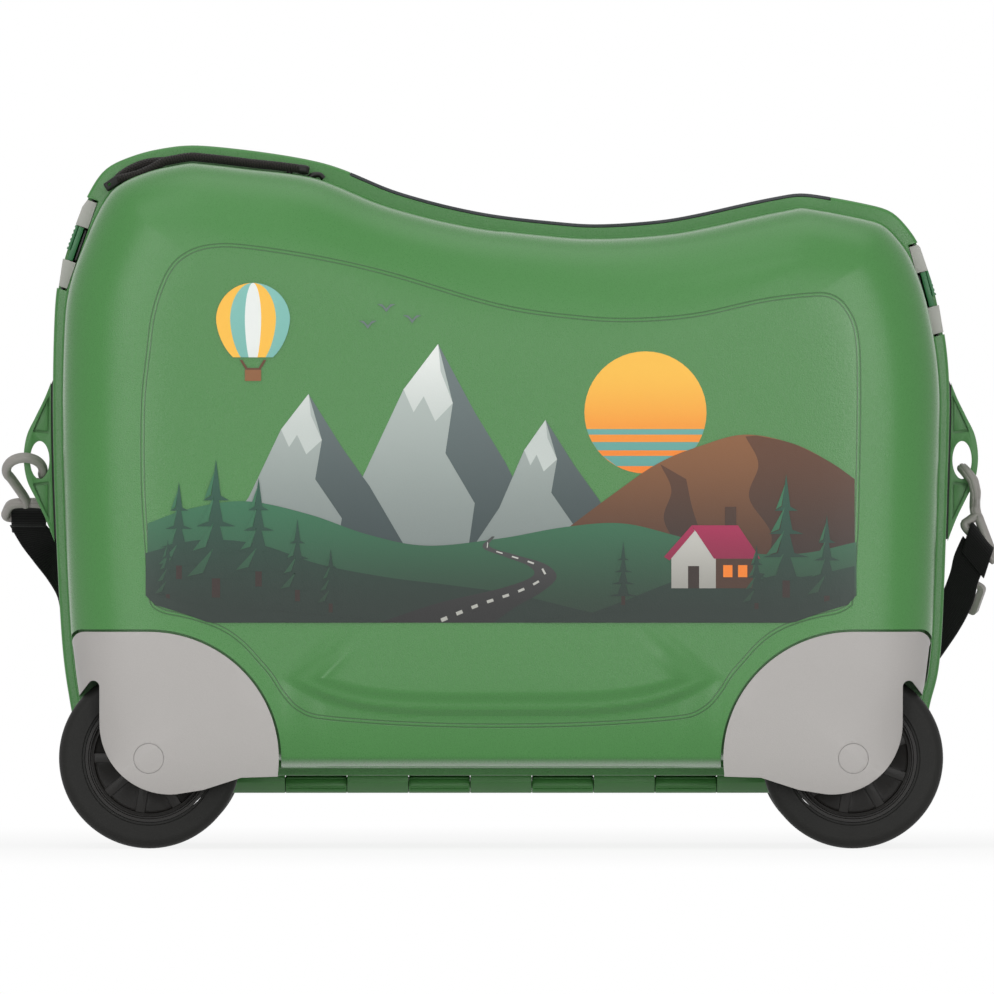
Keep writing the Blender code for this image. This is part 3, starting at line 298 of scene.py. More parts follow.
def sweep(points: Sequence[Vector], section: Sequence[Point2], ways: Optional[Sequence[Vector]] = None,
          scales: Optional[Sequence[float]] = None, sheared: bool = False) -> Body:
    """Carry a section along a line, with a UV map that follows it.

    Args:
        points: the line.
        section: the section's points, the first number across and the second up.
        ways: where the section's first axis points at each point, or None to let it follow by itself.
        scales: a factor for the section at each point.
        sheared: keep the ways as given where they aren't square to the line.

    Returns:
        The closed body.
    """
    rings, lengths = [], []
    side = Vector((0, 0, 1))
    length = 0.0
    last = len(points) - 1
    for i, point in enumerate(points):
        along = (points[min(i + 1, last)] - points[max(i - 1, 0)]).normalized()
        if i == 0 and abs(along.dot(side)) > 0.9:
            side = Vector((1, 0, 0))
        if ways:
            side = ways[i]
        if not sheared:
            side = (side - along * side.dot(along)).normalized()
        up = along.cross(side).normalized()
        scale = scales[i] if scales else 1.0
        rings.append([point + (side * a + up * b) * scale for a, b in section])
        if i:
            length += (point - points[i - 1]).length
        lengths.append(length)
    return loft(rings, lengths)


def round_section(radius: float, count: int = 14, flat: float = 1.0) -> list[Point2]:
    """A round or oval section."""
    return [(radius * math.cos(math.tau * i / count), radius * flat * math.sin(math.tau * i / count))
            for i in range(count)]


def eased(body: Body, offset: float, segments: int) -> Body:
    """Round every edge of a body."""
    bmesh.ops.bevel(body, geom=body.edges[:], offset=offset, offset_type="OFFSET", segments=segments,
                    profile=0.5, affect="EDGES", material=-1)
    return body


def joined(bodies: Sequence[Body]) -> Body:
    """One bmesh that holds several bodies."""
    whole = bmesh.new()
    for body in bodies:
        mesh = bpy.data.meshes.new("body")
        body.to_mesh(mesh)
        body.free()
        whole.from_mesh(mesh)
        bpy.data.meshes.remove(mesh)
    return whole


def as_object(name: str, bm: Body) -> Thing:
    """Turn a bmesh into a linked object at the origin."""
    mesh = bpy.data.meshes.new(name)
    bm.to_mesh(mesh)
    bm.free()
    thing = bpy.data.objects.new(name, mesh)
    bpy.context.collection.objects.link(thing)
    return thing


def applied(thing: Thing) -> Thing:
    """Make an object's modifiers part of its mesh."""
    bpy.context.view_layer.update()
    shown = thing.evaluated_get(bpy.context.evaluated_depsgraph_get())
    mesh = bpy.data.meshes.new_from_object(shown)
    thing.modifiers.clear()
    thing.data = mesh
    return thing


def carve(thing: Thing, tools: Sequence[Thing | Body], way: str = "DIFFERENCE") -> Thing:
    """Boolean an object with tools, which are used up.

    Args:
        thing: the object that is changed.
        tools: closed bodies, as objects or as bmeshes.
        way: DIFFERENCE, UNION or INTERSECT.

    Returns:
        The object.
    """
    tools = [tool if isinstance(tool, Thing) else as_object("tool", tool) for tool in tools]
    for tool in tools:
        step = thing.modifiers.new("carve", "BOOLEAN")
        step.object = tool
        step.operation = way
        step.solver = "MANIFOLD"
    applied(thing)
    for tool in tools:
        bpy.data.objects.remove(tool)
    return thing


def softened(thing: Thing, width: float, segments: int = 2, angle: float = 32.0) -> Thing:
    """Round an object's sharp edges with a bevel that is applied."""
    edge = thing.modifiers.new("edges", "BEVEL")
    edge.width = width
    edge.segments = segments
    edge.limit_method = "ANGLE"
    edge.angle_limit = math.radians(angle)
    edge.harden_normals = False
    return applied(thing)


def shaded(thing: Thing, angle: float = 35.0) -> Thing:
    """Shade smooth, with sharp edges past an angle."""
    thing.data.shade_smooth()
    thing.data.set_sharp_from_angle(angle=math.radians(angle))
    return thing


def refined(node: str, name: str, width: float, segments: int = 2) -> Thing:
    """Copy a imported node's mesh, merge its loose triangles and round its edges.

    Args:
        node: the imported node.
        name: the new piece.
        width: width of the rounding.
        segments: steps of the rounding.

    Returns:
        The new piece.
    """
    bm = bmesh.new()
    bm.from_mesh(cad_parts[node].data)
    bmesh.ops.remove_doubles(bm, verts=bm.verts, dist=2e-6)
    bmesh.ops.dissolve_limit(bm, angle_limit=math.radians(1.0), verts=bm.verts, edges=bm.edges)
    thing = as_object(name, bm)
    return shaded(softened(thing, width, segments))


# Finishes


class Graph:
    """A shader tree that is filled by short calls."""

    def __init__(self, tree: Tree) -> None:
        """Take the tree that the nodes go into."""
        self.tree = tree

    def node(self, kind: str, inputs: Optional[dict] = None, **settings: object) -> Node:
        """Add a node.

        Args:
            kind: the node's type name.
            inputs: values or output sockets, by the name or number of the input.
            settings: the node's own properties.

        Returns:
            The new node.
        """
        made = self.tree.nodes.new(kind)
        for key, value in settings.items():
            setattr(made, key, value)
        for key, value in (inputs or {}).items():
            if isinstance(value, Socket):
                self.tree.links.new(value, made.inputs[key])
            else:
                made.inputs[key].default_value = value
        return made

    def link(self, source: Socket, target: Socket) -> None:
        """Join an output to an input."""
        self.tree.links.new(source, target)

    def place(self) -> Socket:
        """Give the shaded point in the object's own frame."""
        return self.node("ShaderNodeTexCoord").outputs["Object"]

    def split(self, vector: Socket) -> Sequence[Socket]:
        """Give the three parts of a vector."""
        return self.node("ShaderNodeSeparateXYZ", {0: vector}).outputs

    def math(self, operation: str, *values: object) -> Socket:
        """Add a Math node and give its result."""
        return self.node("ShaderNodeMath", dict(enumerate(values)), operation=operation).outputs[0]

    def ramp(self, value: Socket, low: float, high: float) -> Socket:
        """Ease a value from 0 at low to 1 at high."""
        node = self.node("ShaderNodeMapRange", {"Value": value, "From Min": low, "From Max": high},
                         interpolation_type="SMOOTHSTEP")
        return node.outputs[0]

    def blend(self, share: object, first: object, second: object) -> Socket:
        """Mix two colours."""
        node = self.node("ShaderNodeMix", {0: share, 6: first, 7: second}, data_type="RGBA")
        return node.outputs[2]

    def noise(self, place: Socket, scale: object, detail: float = 2.0) -> Socket:
        """Add a Noise Texture and give its factor."""
        node = self.node("ShaderNodeTexNoise", {"Vector": place, "Scale": scale, "Detail": detail})
        return node.outputs["Fac"]


def new_material(name: str) -> tuple[Material, Graph, Node]:
    """Start a material, and give it with its graph and its Principled shader."""
    material = bpy.data.materials.new(name)
    material.use_nodes = True
    return material, Graph(material.node_tree), material.node_tree.nodes["Principled BSDF"]


def new_group(name: str, ins: dict[str, str], outs: dict[str, str]) -> tuple[Graph, dict, dict]:
    """Start a shader node group.

    Args:
        name: name of the group.
        ins: type of each input socket.
        outs: type of each output socket.

    Returns:
        Its graph, its input sockets inside, and its output sockets inside.
    """
    tree = bpy.data.node_groups.new(name, "ShaderNodeTree")
    for label, kind in ins.items():
        tree.interface.new_socket(name=label, in_out="INPUT", socket_type="NodeSocket" + kind)
    for label, kind in outs.items():
        tree.interface.new_socket(name=label, in_out="OUTPUT", socket_type="NodeSocket" + kind)
    source = tree.nodes.new("NodeGroupInput")
    target = tree.nodes.new("NodeGroupOutput")
    return Graph(tree), source.outputs, target.inputs


@dataclass
class Effects:
    """The shader node groups that several finishes share."""

    skin: Tree = field(init=False)
    weave: Tree = field(init=False)
    dust: Tree = field(init=False)

    def __post_init__(self) -> None:
        """Build the groups once."""
        self.skin = self.moulded_skin()
        self.weave = self.woven_tape()
        self.dust = self.settled_dust()

    def moulded_skin(self) -> Tree:
        """Slow colour drift, fine spark grain and its unevenness in gloss."""
        graph, ins, outs = new_group(
            "moulded skin",
            {"Colour": "Color", "Drift": "Float", "Grain": "Float", "Roughness": "Float"},
            {"Colour": "Color", "Roughness": "Float", "Height": "Float"})
        place = graph.place()
        broad = graph.noise(place, 11.0, 3.0)
        fine = graph.noise(place, ins["Grain"], 3.0)
        lift = graph.math("MULTIPLY_ADD", graph.math("SUBTRACT", broad, 0.5), ins["Drift"], 1.0)
        speck = graph.math("MULTIPLY_ADD", graph.math("SUBTRACT", fine, 0.5), 0.10, lift)
        tinted = graph.node("ShaderNodeHueSaturation", {"Color": ins["Colour"], "Value": speck})
        graph.link(tinted.outputs[0], outs["Colour"])
        uneven = graph.math("MULTIPLY_ADD", graph.math("SUBTRACT", fine, 0.5), 0.22, ins["Roughness"])
        graph.link(uneven, outs["Roughness"])
        graph.link(fine, outs["Height"])
        return graph.tree

    def woven_tape(self) -> Tree:
        """Ribs across a tape and the yarns that cross them, from its UV map, with the mask of the raised
        yarns that carries a painted highlight.
        """
        graph, ins, outs = new_group("woven tape", {"Ribs": "Float", "Yarns": "Float", "Slant": "Float"},
                                     {"Height": "Float", "Mask": "Float"})
        across, along = graph.split(graph.node("ShaderNodeUVMap").outputs[0])[:2]
        slanted = graph.math("MULTIPLY_ADD", across, ins["Slant"], along)
        rib = graph.math("SINE", graph.math("MULTIPLY", slanted, ins["Ribs"]))
        yarn = graph.math("SINE", graph.math("MULTIPLY", across, ins["Yarns"]))
        height = graph.math("MULTIPLY_ADD", graph.math("MULTIPLY", rib, yarn), 0.25,
                            graph.math("MULTIPLY_ADD", rib, 0.35, 0.5))
        graph.link(height, outs["Height"])
        graph.link(graph.ramp(height, 0.1, 0.9), outs["Mask"])
        return graph.tree

    def settled_dust(self) -> Tree:
        """A pale film in patches that gathers low on a piece."""
        graph, ins, outs = new_group("settled dust", {"Colour": "Color", "Amount": "Float", "Top": "Float"},
                                     {"Colour": "Color", "Mask": "Float"})
        place = graph.place()
        height = graph.split(place)[2]
        low = graph.math("SUBTRACT", 1.0, graph.math("DIVIDE", height, ins["Top"]))
        patch = graph.math("MULTIPLY", graph.noise(place, 90.0, 4.0), graph.math("MAXIMUM", low, 0.15))
        mask = graph.math("MULTIPLY", patch, ins["Amount"])
        graph.link(graph.blend(mask, ins["Colour"], (0.35, 0.33, 0.30, 1.0)), outs["Colour"])
        graph.link(mask, outs["Mask"])
        return graph.tree


@dataclass(frozen=True)
class Plastic:
    """A moulded, painted or plated finish."""

    name: str
    colour: Colour
    roughness: float
    grain: float = 1400.0
    depth: float = 0.10
    drift: float = 0.10
    coat_roughness: float = 0.2
    metallic: float = 0.0
    dust: float = 0.0
    dust_top: float = 0.10
    specular: float = 0.4

    def surface(self, effects: Effects) -> tuple[Material, Graph, Node, Node]:
        """Start the material with its skin group joined to a Principled shader.

        Args:
            effects: the shared groups.

        Returns:
            The material, its graph, the shader and the skin group's node.
        """
        material, graph, shader = new_material(self.name)
        inputs = {"Colour": (*self.colour, 1.0), "Drift": self.drift, "Grain": self.grain,
                  "Roughness": self.roughness}
        skin = graph.node("ShaderNodeGroup", inputs, node_tree=effects.skin)
        shader.inputs["Metallic"].default_value = self.metallic
        shader.inputs["Coat Roughness"].default_value = self.coat_roughness
        shader.inputs["Specular IOR Level"].default_value = self.specular
        graph.link(skin.outputs["Roughness"], shader.inputs["Roughness"])
        return material, graph, shader, skin

    def bumped(self, graph: Graph, shader: Node, height: Socket, distance: float = BUMP_REACH) -> None:
        """Feed a height into the shader's normal."""
        bump = graph.node("ShaderNodeBump", {"Height": height, "Strength": self.depth, "Distance": distance})
        graph.link(bump.outputs[0], shader.inputs["Normal"])

    def material(self, effects: Effects) -> Material:
        """Build the finish.

        Args:
            effects: the shared groups.

        Returns:
            The material.
        """
        material, graph, shader, skin = self.surface(effects)
        colour = skin.outputs["Colour"]
        if self.dust:
            inputs = {"Colour": colour, "Amount": self.dust, "Top": self.dust_top}
            colour = graph.node("ShaderNodeGroup", inputs, node_tree=effects.dust).outputs["Colour"]
        graph.link(colour, shader.inputs["Base Color"])
        self.bumped(graph, shader, skin.outputs["Height"])
        return material


@dataclass(frozen=True)
class FilmedShell(Plastic):
    """The moulded shell with a glossy printed film over its face and a double bead round it, whose grooves
    are darkened with painted shade.
    """

    film: Colour = (0.054, 0.216, 0.047)
    bead: float = 0.0009
    bead_half: float = 0.00048

    def material(self, effects: Effects) -> Material:
        """Build the finish from the distance to the film's edge, kept on the mesh.

        Args:
            effects: the shared groups.

        Returns:
            The material.
        """
        material, graph, shader, skin = self.surface(effects)
        inside = graph.node("ShaderNodeAttribute", attribute_name="panel").outputs["Fac"]
        share = graph.ramp(inside, -0.0002, 0.0002)
        place = graph.place()
        across = graph.split(place)[0]
        film = graph.blend(share, skin.outputs["Colour"], (*self.film, 1.0))
        # The bead's grooves are darkened in the base colour, besides their bump: painted shade.
        off = graph.math("ABSOLUTE", graph.math("SUBTRACT", graph.math("ABSOLUTE", inside), self.bead))
        groove = graph.math("SUBTRACT", 1.0, graph.ramp(off, self.bead_half * 0.4, self.bead_half))
        dark = graph.math("MULTIPLY", groove, 0.80)
        film_with_groove_shade = graph.blend(dark, film, (0.030, 0.090, 0.028, 1.0))
        graph.link(film_with_groove_shade, shader.inputs["Base Color"])
        ends = graph.ramp(graph.math("ABSOLUTE", across), 0.145, 0.185)
        leather = graph.node("ShaderNodeTexVoronoi", {"Vector": place, "Scale": 620.0}).outputs["Distance"]
        mask = graph.math("MULTIPLY", graph.math("MULTIPLY", ends, share), 0.55)
        height = graph.math("MULTIPLY_ADD", leather, mask, skin.outputs["Height"])
        cut = graph.math("MULTIPLY_ADD", groove, -7.0, height)
        self.bumped(graph, shader, cut)
        coat = graph.math("MULTIPLY", share, 0.22)
        graph.link(coat, shader.inputs["Coat Weight"])
        return material


@dataclass(frozen=True)
class Ink(Plastic):
    """One printed colour that changes evenly with height."""

    high: Colour = (0.5, 0.5, 0.5)
    start: float = 0.122
    end: float = 0.30

    def material(self, effects: Effects) -> Material:
        """Build the ink.

        Args:
            effects: the shared groups.

        Returns:
            The material.
        """
        material, graph, shader, skin = self.surface(effects)
        place = graph.place()
        height = graph.split(place)[2]
        share = graph.ramp(height, self.start, self.end)
        graph.link(graph.blend(share, skin.outputs["Colour"], (*self.high, 1.0)),
                             shader.inputs["Base Color"])
        self.bumped(graph, shader, skin.outputs["Height"])
        return material


@dataclass(frozen=True)
class Woven(Plastic):
    """Webbing or braid, whose threads follow the piece's UV map, with a painted highlight on the raised
    yarns.
    """

    ribs: float = 3000.0
    yarns: float = 120.0
    slant: float = 0.0
    # colour of the raised yarns: a painted highlight
    light: Colour = (0.035, 0.035, 0.034)

    def material(self, effects: Effects) -> Material:
        """Build the fabric.

        Args:
            effects: the shared groups.

        Returns:
            The material.
        """
        material, graph, shader, skin = self.surface(effects)
        inputs = {"Ribs": self.ribs, "Yarns": self.yarns, "Slant": self.slant}
        cloth = graph.node("ShaderNodeGroup", inputs, node_tree=effects.weave)
        # The raised yarns take the light colour: a painted highlight.
        graph.link(graph.blend(cloth.outputs["Mask"], skin.outputs["Colour"], (*self.light, 1.0)),
                             shader.inputs["Base Color"])
        shader.inputs["Sheen Weight"].default_value = 0.12
        shader.inputs["Sheen Roughness"].default_value = 0.5
        self.bumped(graph, shader, cloth.outputs["Height"], 0.0005)
        return material


GREEN = (0.062, 0.228, 0.055)
FINISHES = (
    FilmedShell("filmed green shell", GREEN, 0.29, grain=1900.0, depth=0.22, drift=0.05),
    Plastic("green moulding", GREEN, 0.38, grain=1900.0, depth=0.22, drift=0.06),
    Plastic("hinge green", (0.066, 0.232, 0.058), 0.40, depth=0.15, dust=0.05),
    Plastic("hinge shade", (0.020, 0.060, 0.018), 0.50, depth=0.15),
    Plastic("latch green", (0.045, 0.190, 0.075), 0.36, depth=0.12, drift=0.08),
    Plastic("light grey", (0.432, 0.412, 0.398), 0.42, grain=1700.0, depth=0.18, drift=0.04),
    Plastic("latch grey", (0.490, 0.475, 0.450), 0.38, depth=0.12, drift=0.06),
    Plastic("hook grey", (0.330, 0.312, 0.292), 0.40, depth=0.20, drift=0.08),
    Plastic("black plastic", (0.012, 0.012, 0.011), 0.42, depth=0.16, drift=0.20, specular=0.25),
    Plastic("hub black", (0.012, 0.011, 0.010), 0.42, depth=0.14, drift=0.20, dust=0.02, specular=0.25),
    Plastic("tyre rubber", (0.013, 0.013, 0.012), 0.55, grain=900.0, depth=0.28, drift=0.25, dust=0.02,
            specular=0.18),
    Plastic("grip strip", (0.055, 0.058, 0.066), 0.62, grain=700.0, depth=0.50, drift=0.15),
    # Steel made dark so that the latch's slit reads dark: painted shade.
    Plastic("steel in painted shade", (0.060, 0.060, 0.060), 0.45, depth=0.10, metallic=1.0),
    Plastic("zinc plate", (0.560, 0.570, 0.580), 0.30, grain=2200.0, depth=0.10, metallic=1.0),
    Woven("black webbing", (0.003, 0.003, 0.003), 0.85, depth=0.30, ribs=5200.0, yarns=150.0, specular=0.15,
          light=(0.011, 0.011, 0.011)),
    Woven("braided cord", (0.004, 0.004, 0.004), 0.70, depth=0.70, ribs=5200.0, yarns=38.0, slant=0.004,
          specular=0.25, light=(0.026, 0.021, 0.018)),
)


# The form of the case


@dataclass(frozen=True)
class CaseForm:
    """The outline of the case and the bulge of its shells, which every other piece is fitted to."""

    length: float = 0.4876
    depth: float = 0.2080
    bottom: float = 0.0387
    nose: float = 0.3812
    seat: float = 0.3388
    tail: float = 0.3552
    corner: float = 0.040
    wall: float = 0.0026
    rim: float = 0.025
    rim_edge: float = 0.0018
    step_side: float = 0.0053
    step_top: float = 0.0075
    step_bottom: float = 0.0038
    draft: float = 0.0015
    straight: float = 0.072
    round_side: float = 0.025
    round_bottom: float = 0.006
    crown: float = 0.0040
    nose_proud: float = 0.0018
    corner_proud: tuple[float, float] = (0.0030, 0.0016)
    skirt: float = 0.0060
    skirt_half: float = 0.1225
    tilt: float = 0.2345
    points: int = 500

    def knots(self, bottom: float) -> list[Point2]:
        """Points that the seam's outline passes through, clockwise, above a lower edge."""
        half = self.length / 2
        nose_x, seat_x, tail_x = (share * self.length for share in (NOSE_CREST, SEAT_LOW, TAIL_CREST))
        nose_rise, tail_rise = self.nose - self.bottom, self.tail - self.bottom
        nose_side = ((0.961, 0.112), (0.982, 0.231), (0.999, 0.503), (0.998, 0.707), (0.984, 0.804),
                     (0.942, 0.892), (0.897, 0.952), (0.852, 0.976), (0.763, 0.9955))
        tail_side = ((0.845, 0.977), (0.892, 0.955), (0.937, 0.906), (0.975, 0.819), (0.9995, 0.690),
                     (0.997, 0.510), (0.982, 0.220), (0.957, 0.121))
        down = ((0.277, 0.795), (0.481, 0.409), (0.685, 0.153), (0.888, 0.026))
        back_up = ((0.274, 0.134), (0.469, 0.366), (0.664, 0.665), (0.859, 0.933))
        points = [(-half * x, self.bottom + z * nose_rise) for x, z in nose_side]
        points.append((nose_x, self.nose))
        points += [(nose_x + a * (seat_x - nose_x), self.seat + h * (self.nose - self.seat)) for a, h in down]
        points.append((seat_x, self.seat))
        points += [(seat_x + a * (tail_x - seat_x), self.seat + h * (self.tail - self.seat))
                   for a, h in back_up]
        points.append((tail_x, self.tail))
        points += [(half * x, self.bottom + z * tail_rise) for x, z in tail_side]
        edge = half * 0.957 - self.corner
        tail_corner = arc((edge, bottom + self.corner), self.corner, -22, -90, 3)
        nose_corner = [(-x, z) for x, z in reversed(tail_corner)]
        floor = [(edge * share, bottom) for share in (0.75, 0.25, -0.25, -0.75)]
        return points + tail_corner + floor + nose_corner

    @cache
    def outline(self, bottom: float, count: int) -> tuple[Vector, ...]:
        """The seam's outline, evenly spaced and evened out.

        Args:
            bottom: height of its lower edge.
            count: how many points.

        Returns:
            Points of (x, z), clockwise.
        """
        line = smooth_line(self.knots(bottom), count, closed=True)
        for _ in range(14):
            for share in (0.5, -0.52):
                line = [p + ((line[i - 1] + line[(i + 1) % count]) / 2 - p) * share
                        for i, p in enumerate(line)]
        return tuple(line)

    def normals(self, outline: Sequence[Vector]) -> list[Vector]:
        """Unit normals of a clockwise outline that point away from its inside."""
        count = len(outline)
        result = []
        for i in range(count):
            along = outline[(i + 1) % count] - outline[i - 1]
            result.append(Vector((-along.y, along.x)).normalized())
        return result

    def step(self, point: Vector, normal: Vector) -> float:
        """How far the rim stands proud at a point of the outline, more over the nose and at the corners."""
        up, down = max(0.0, normal.y), max(0.0, -normal.y)
        nose = smooth((-0.095 - point.x) / 0.045) * up
        corner = 2.0 * up * abs(normal.x) * self.corner_proud[point.x >= 0]
        return (self.step_side + (self.step_top - self.step_side) * up
                + (self.step_bottom - self.step_side) * down + self.nose_proud * nose + corner)

    def ring(self, insets: Sequence[float], y: float, bottom: float) -> Ring:
        """The outline moved inwards by one distance for each point, at a place along Y."""
        outline = self.outline(bottom, len(insets))
        return [Vector((p.x - n.x * inset, y, p.y - n.y * inset))
                for p, n, inset in zip(outline, self.normals(outline), insets)]

    def rim_rings(self, side: Side) -> list[Ring]:
        """Rings of the raised rim, from the seam to the foot of the bulge."""
        even = [1.0] * self.points
        flush = [0.0] * self.points
        rings = [([0.0003] * self.points, 0.00015), (flush, 0.0006), (flush, self.rim - self.rim_edge)]
        for turn in (22.5, 45.0, 67.5, 90.0):
            inset = self.rim_edge * (1 - math.cos(math.radians(turn)))
            depth = self.rim - self.rim_edge * (1 - math.sin(math.radians(turn)))
            rings.append(([inset * one for one in even], depth))
        outline = self.outline(self.bottom, self.points)
        foot = [self.step(p, n) for p, n in zip(outline, self.normals(outline))]
        fillet = 0.0012
        for turn in (0.0, 30.0, 60.0, 90.0):
            inset = fillet * (1 - math.sin(math.radians(turn)))
            depth = self.rim + fillet * (1 - math.cos(math.radians(turn)))
            rings.append(([one - inset for one in foot], depth))
        return [self.ring(insets, side.value * depth, self.bottom) for insets, depth in rings]

    def bulge_rings(self, side: Side, skin: float, start: float, bottom: Optional[float] = None,
                    count: Optional[int] = None, recess: Optional[float] = None) -> list[Ring]:
        """Rings of the bulge's surface, or of one that lies a skin below it.

        Args:
            side: which shell.
            skin: how far below the outer surface.
            start: depth of the first ring.
            bottom: lower edge of the outline, or None for the case's own.
            count: points on each ring, or None for the usual number.
            recess: margin round the sunk skirt, or None to leave the skirt out.

        Returns:
            The rings.
        """
        low = self.bottom if bottom is None else bottom
        number = count or self.points
        outline = self.outline(low, number)
        normals = self.normals(outline)
        insets = [self.step(p, n) + skin for p, n in zip(outline, normals)]
        widths = [self.round_side + (self.round_bottom - self.round_side) * max(0.0, -normal.y) - skin * 0.4
                  for normal in normals]
        face = self.depth / 2 - self.crown - skin
        slope = self.draft / (self.straight - self.rim)
        levels = [start + (self.straight - start) * share for share in (0.0, 0.2, 0.4, 0.6, 0.8, 1.0)]
        rings = [([inset + (level - self.rim) * slope for inset in insets], level) for level in levels]
        placed = [self.ring(row, side.value * depth, low) for row, depth in rings]
        flat = [Vector((p.x, p.z)) for p in placed[-1]]
        steps = 14
        bends = [self.tilt * width / (face - self.straight) for width in widths]
        turns = [math.acos(bend / (1 - bend)) for bend in bends]
        for i in range(1, steps + 1):
            inward = [(math.cos(a * (i - 1) / steps) - math.cos(a * i / steps)) / (1 - math.cos(a))
                      for a in turns]
            flat = [p - n * width * move
                    for p, n, width, move in zip(flat, self.normals(flat), widths, inward)]
            for _ in range(3):
                flat = [p + ((flat[k - 1] + flat[(k + 1) % number]) / 2 - p) * 0.4
                        for k, p in enumerate(flat)]
            depths = [self.straight + (face - self.straight) * math.sin(a * i / steps) / math.sin(a)
                      for a in turns]
            placed.append([Vector((p.x, side.value * depth, p.y)) for p, depth in zip(flat, depths)])
        edge = placed[-1]
        middle = sum(edge, Vector()) / number
        shares = [1.0 - 0.0085 * i for i in range(1, 36)] + [0.6, 0.5, 0.4, 0.3, 0.2, 0.1, 0.03]
        powers = [max(2.0, self.tilt * (p - middle).length / self.crown) for p in edge]
        for share in shares:
            placed.append([Vector((middle.x + (p.x - middle.x) * share,
                                   side.value * (face + self.crown * (1 - share ** power)),
                                   middle.z + (p.z - middle.z) * share)) for p, power in zip(edge, powers)])
        if recess is None:
            return placed
        return [[self.sunk(point, side, recess) for point in ring] for ring in placed]

    def sunk(self, point: Vector, side: Side, margin: float) -> Vector:
        """Move a point of the face back where the skirt under it is recessed."""
        rise = 0.0210 * min(1.15, abs(point.x) / 0.1180) ** 4
        roll = 0.35 * smooth((0.0845 + rise + margin - point.z) / 0.0055)
        fall = 0.65 * smooth((0.0762 + rise + margin - point.z) / 0.0050)
        across = smooth((self.skirt_half + margin - abs(point.x)) / 0.0300)
        deep = smooth((abs(point.y) - 0.0740) / 0.0090)
        return point - Vector((0, side.value * self.skirt * (roll + fall) * across * deep, 0))

    def rim_place(self, end: End, height: float) -> Matrix:
        """Frame on the rim at a height.

        Args:
            end: which end of the case.
            height: how high.

        Returns:
            X clockwise along the rim, Y across the seam, Z outwards.
        """
        outline = self.outline(self.bottom, 720)
        normals = self.normals(outline)
        best = min((i for i in range(720) if end.value * outline[i].x > 0.05),
                   key=lambda i: abs(outline[i].y - height))
        out = Vector((normals[best].x, 0, normals[best].y))
        across = Vector((0, 1, 0))
        place = Matrix((across.cross(out), across, out)).transposed().to_4x4()
        place.translation = (outline[best].x, 0, outline[best].y)
        return place

    def band(self, inset: float, near: float, far: float) -> Body:
        """The whole case between two places along Y, its outline moved inwards."""
        rings = [self.ring([inset] * self.points, y, self.bottom) for y in (near, far)]
        return loft(rings)

    def lug_place(self, end: End) -> Vector:
        """Where the middle of a strap lug meets the rim, in the plane of the lug."""
        height = self.bottom + 0.5054 * (self.nose - self.bottom)
        return Vector((self.rim_place(end, height).translation.x, LUG_DEPTH, height))


FORM = CaseForm()


@dataclass
class Workshop:
    """Dresses finished pieces and keeps the materials."""

    effects: Effects = field(default_factory=Effects)
    materials: dict[str, Material] = field(default_factory=dict)

    def __post_init__(self) -> None:
        """Build every finish."""
        for finish in FINISHES:
            self.materials[finish.name] = finish.material(self.effects)

    def dress(self, thing: Thing, finish: str, body: str, slot: str, *nodes: str) -> Thing:
        """Give a piece its finish and body.

        Args:
            thing: the finished piece.
            finish: name of its finish.
            body: the body that it rides on.
            slot: the record's material slot; not used.
            nodes: CAD nodes that it stands for.

        Returns:
            The piece.
        """
        thing.data.materials.clear()
        thing.data.materials.append(self.materials[finish])
        if nodes:
            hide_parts(*nodes)
        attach(thing, body)
        LOG.info("%s: %d faces on %s", thing.name, len(thing.data.polygons), body)
        return thing

    def coat_node(self, finish: str, *nodes: str) -> None:
        """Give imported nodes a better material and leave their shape."""
        for node in nodes:
            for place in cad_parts[node].material_slots:
                place.material = self.materials[finish]
            LOG.info("%s: coated", node)


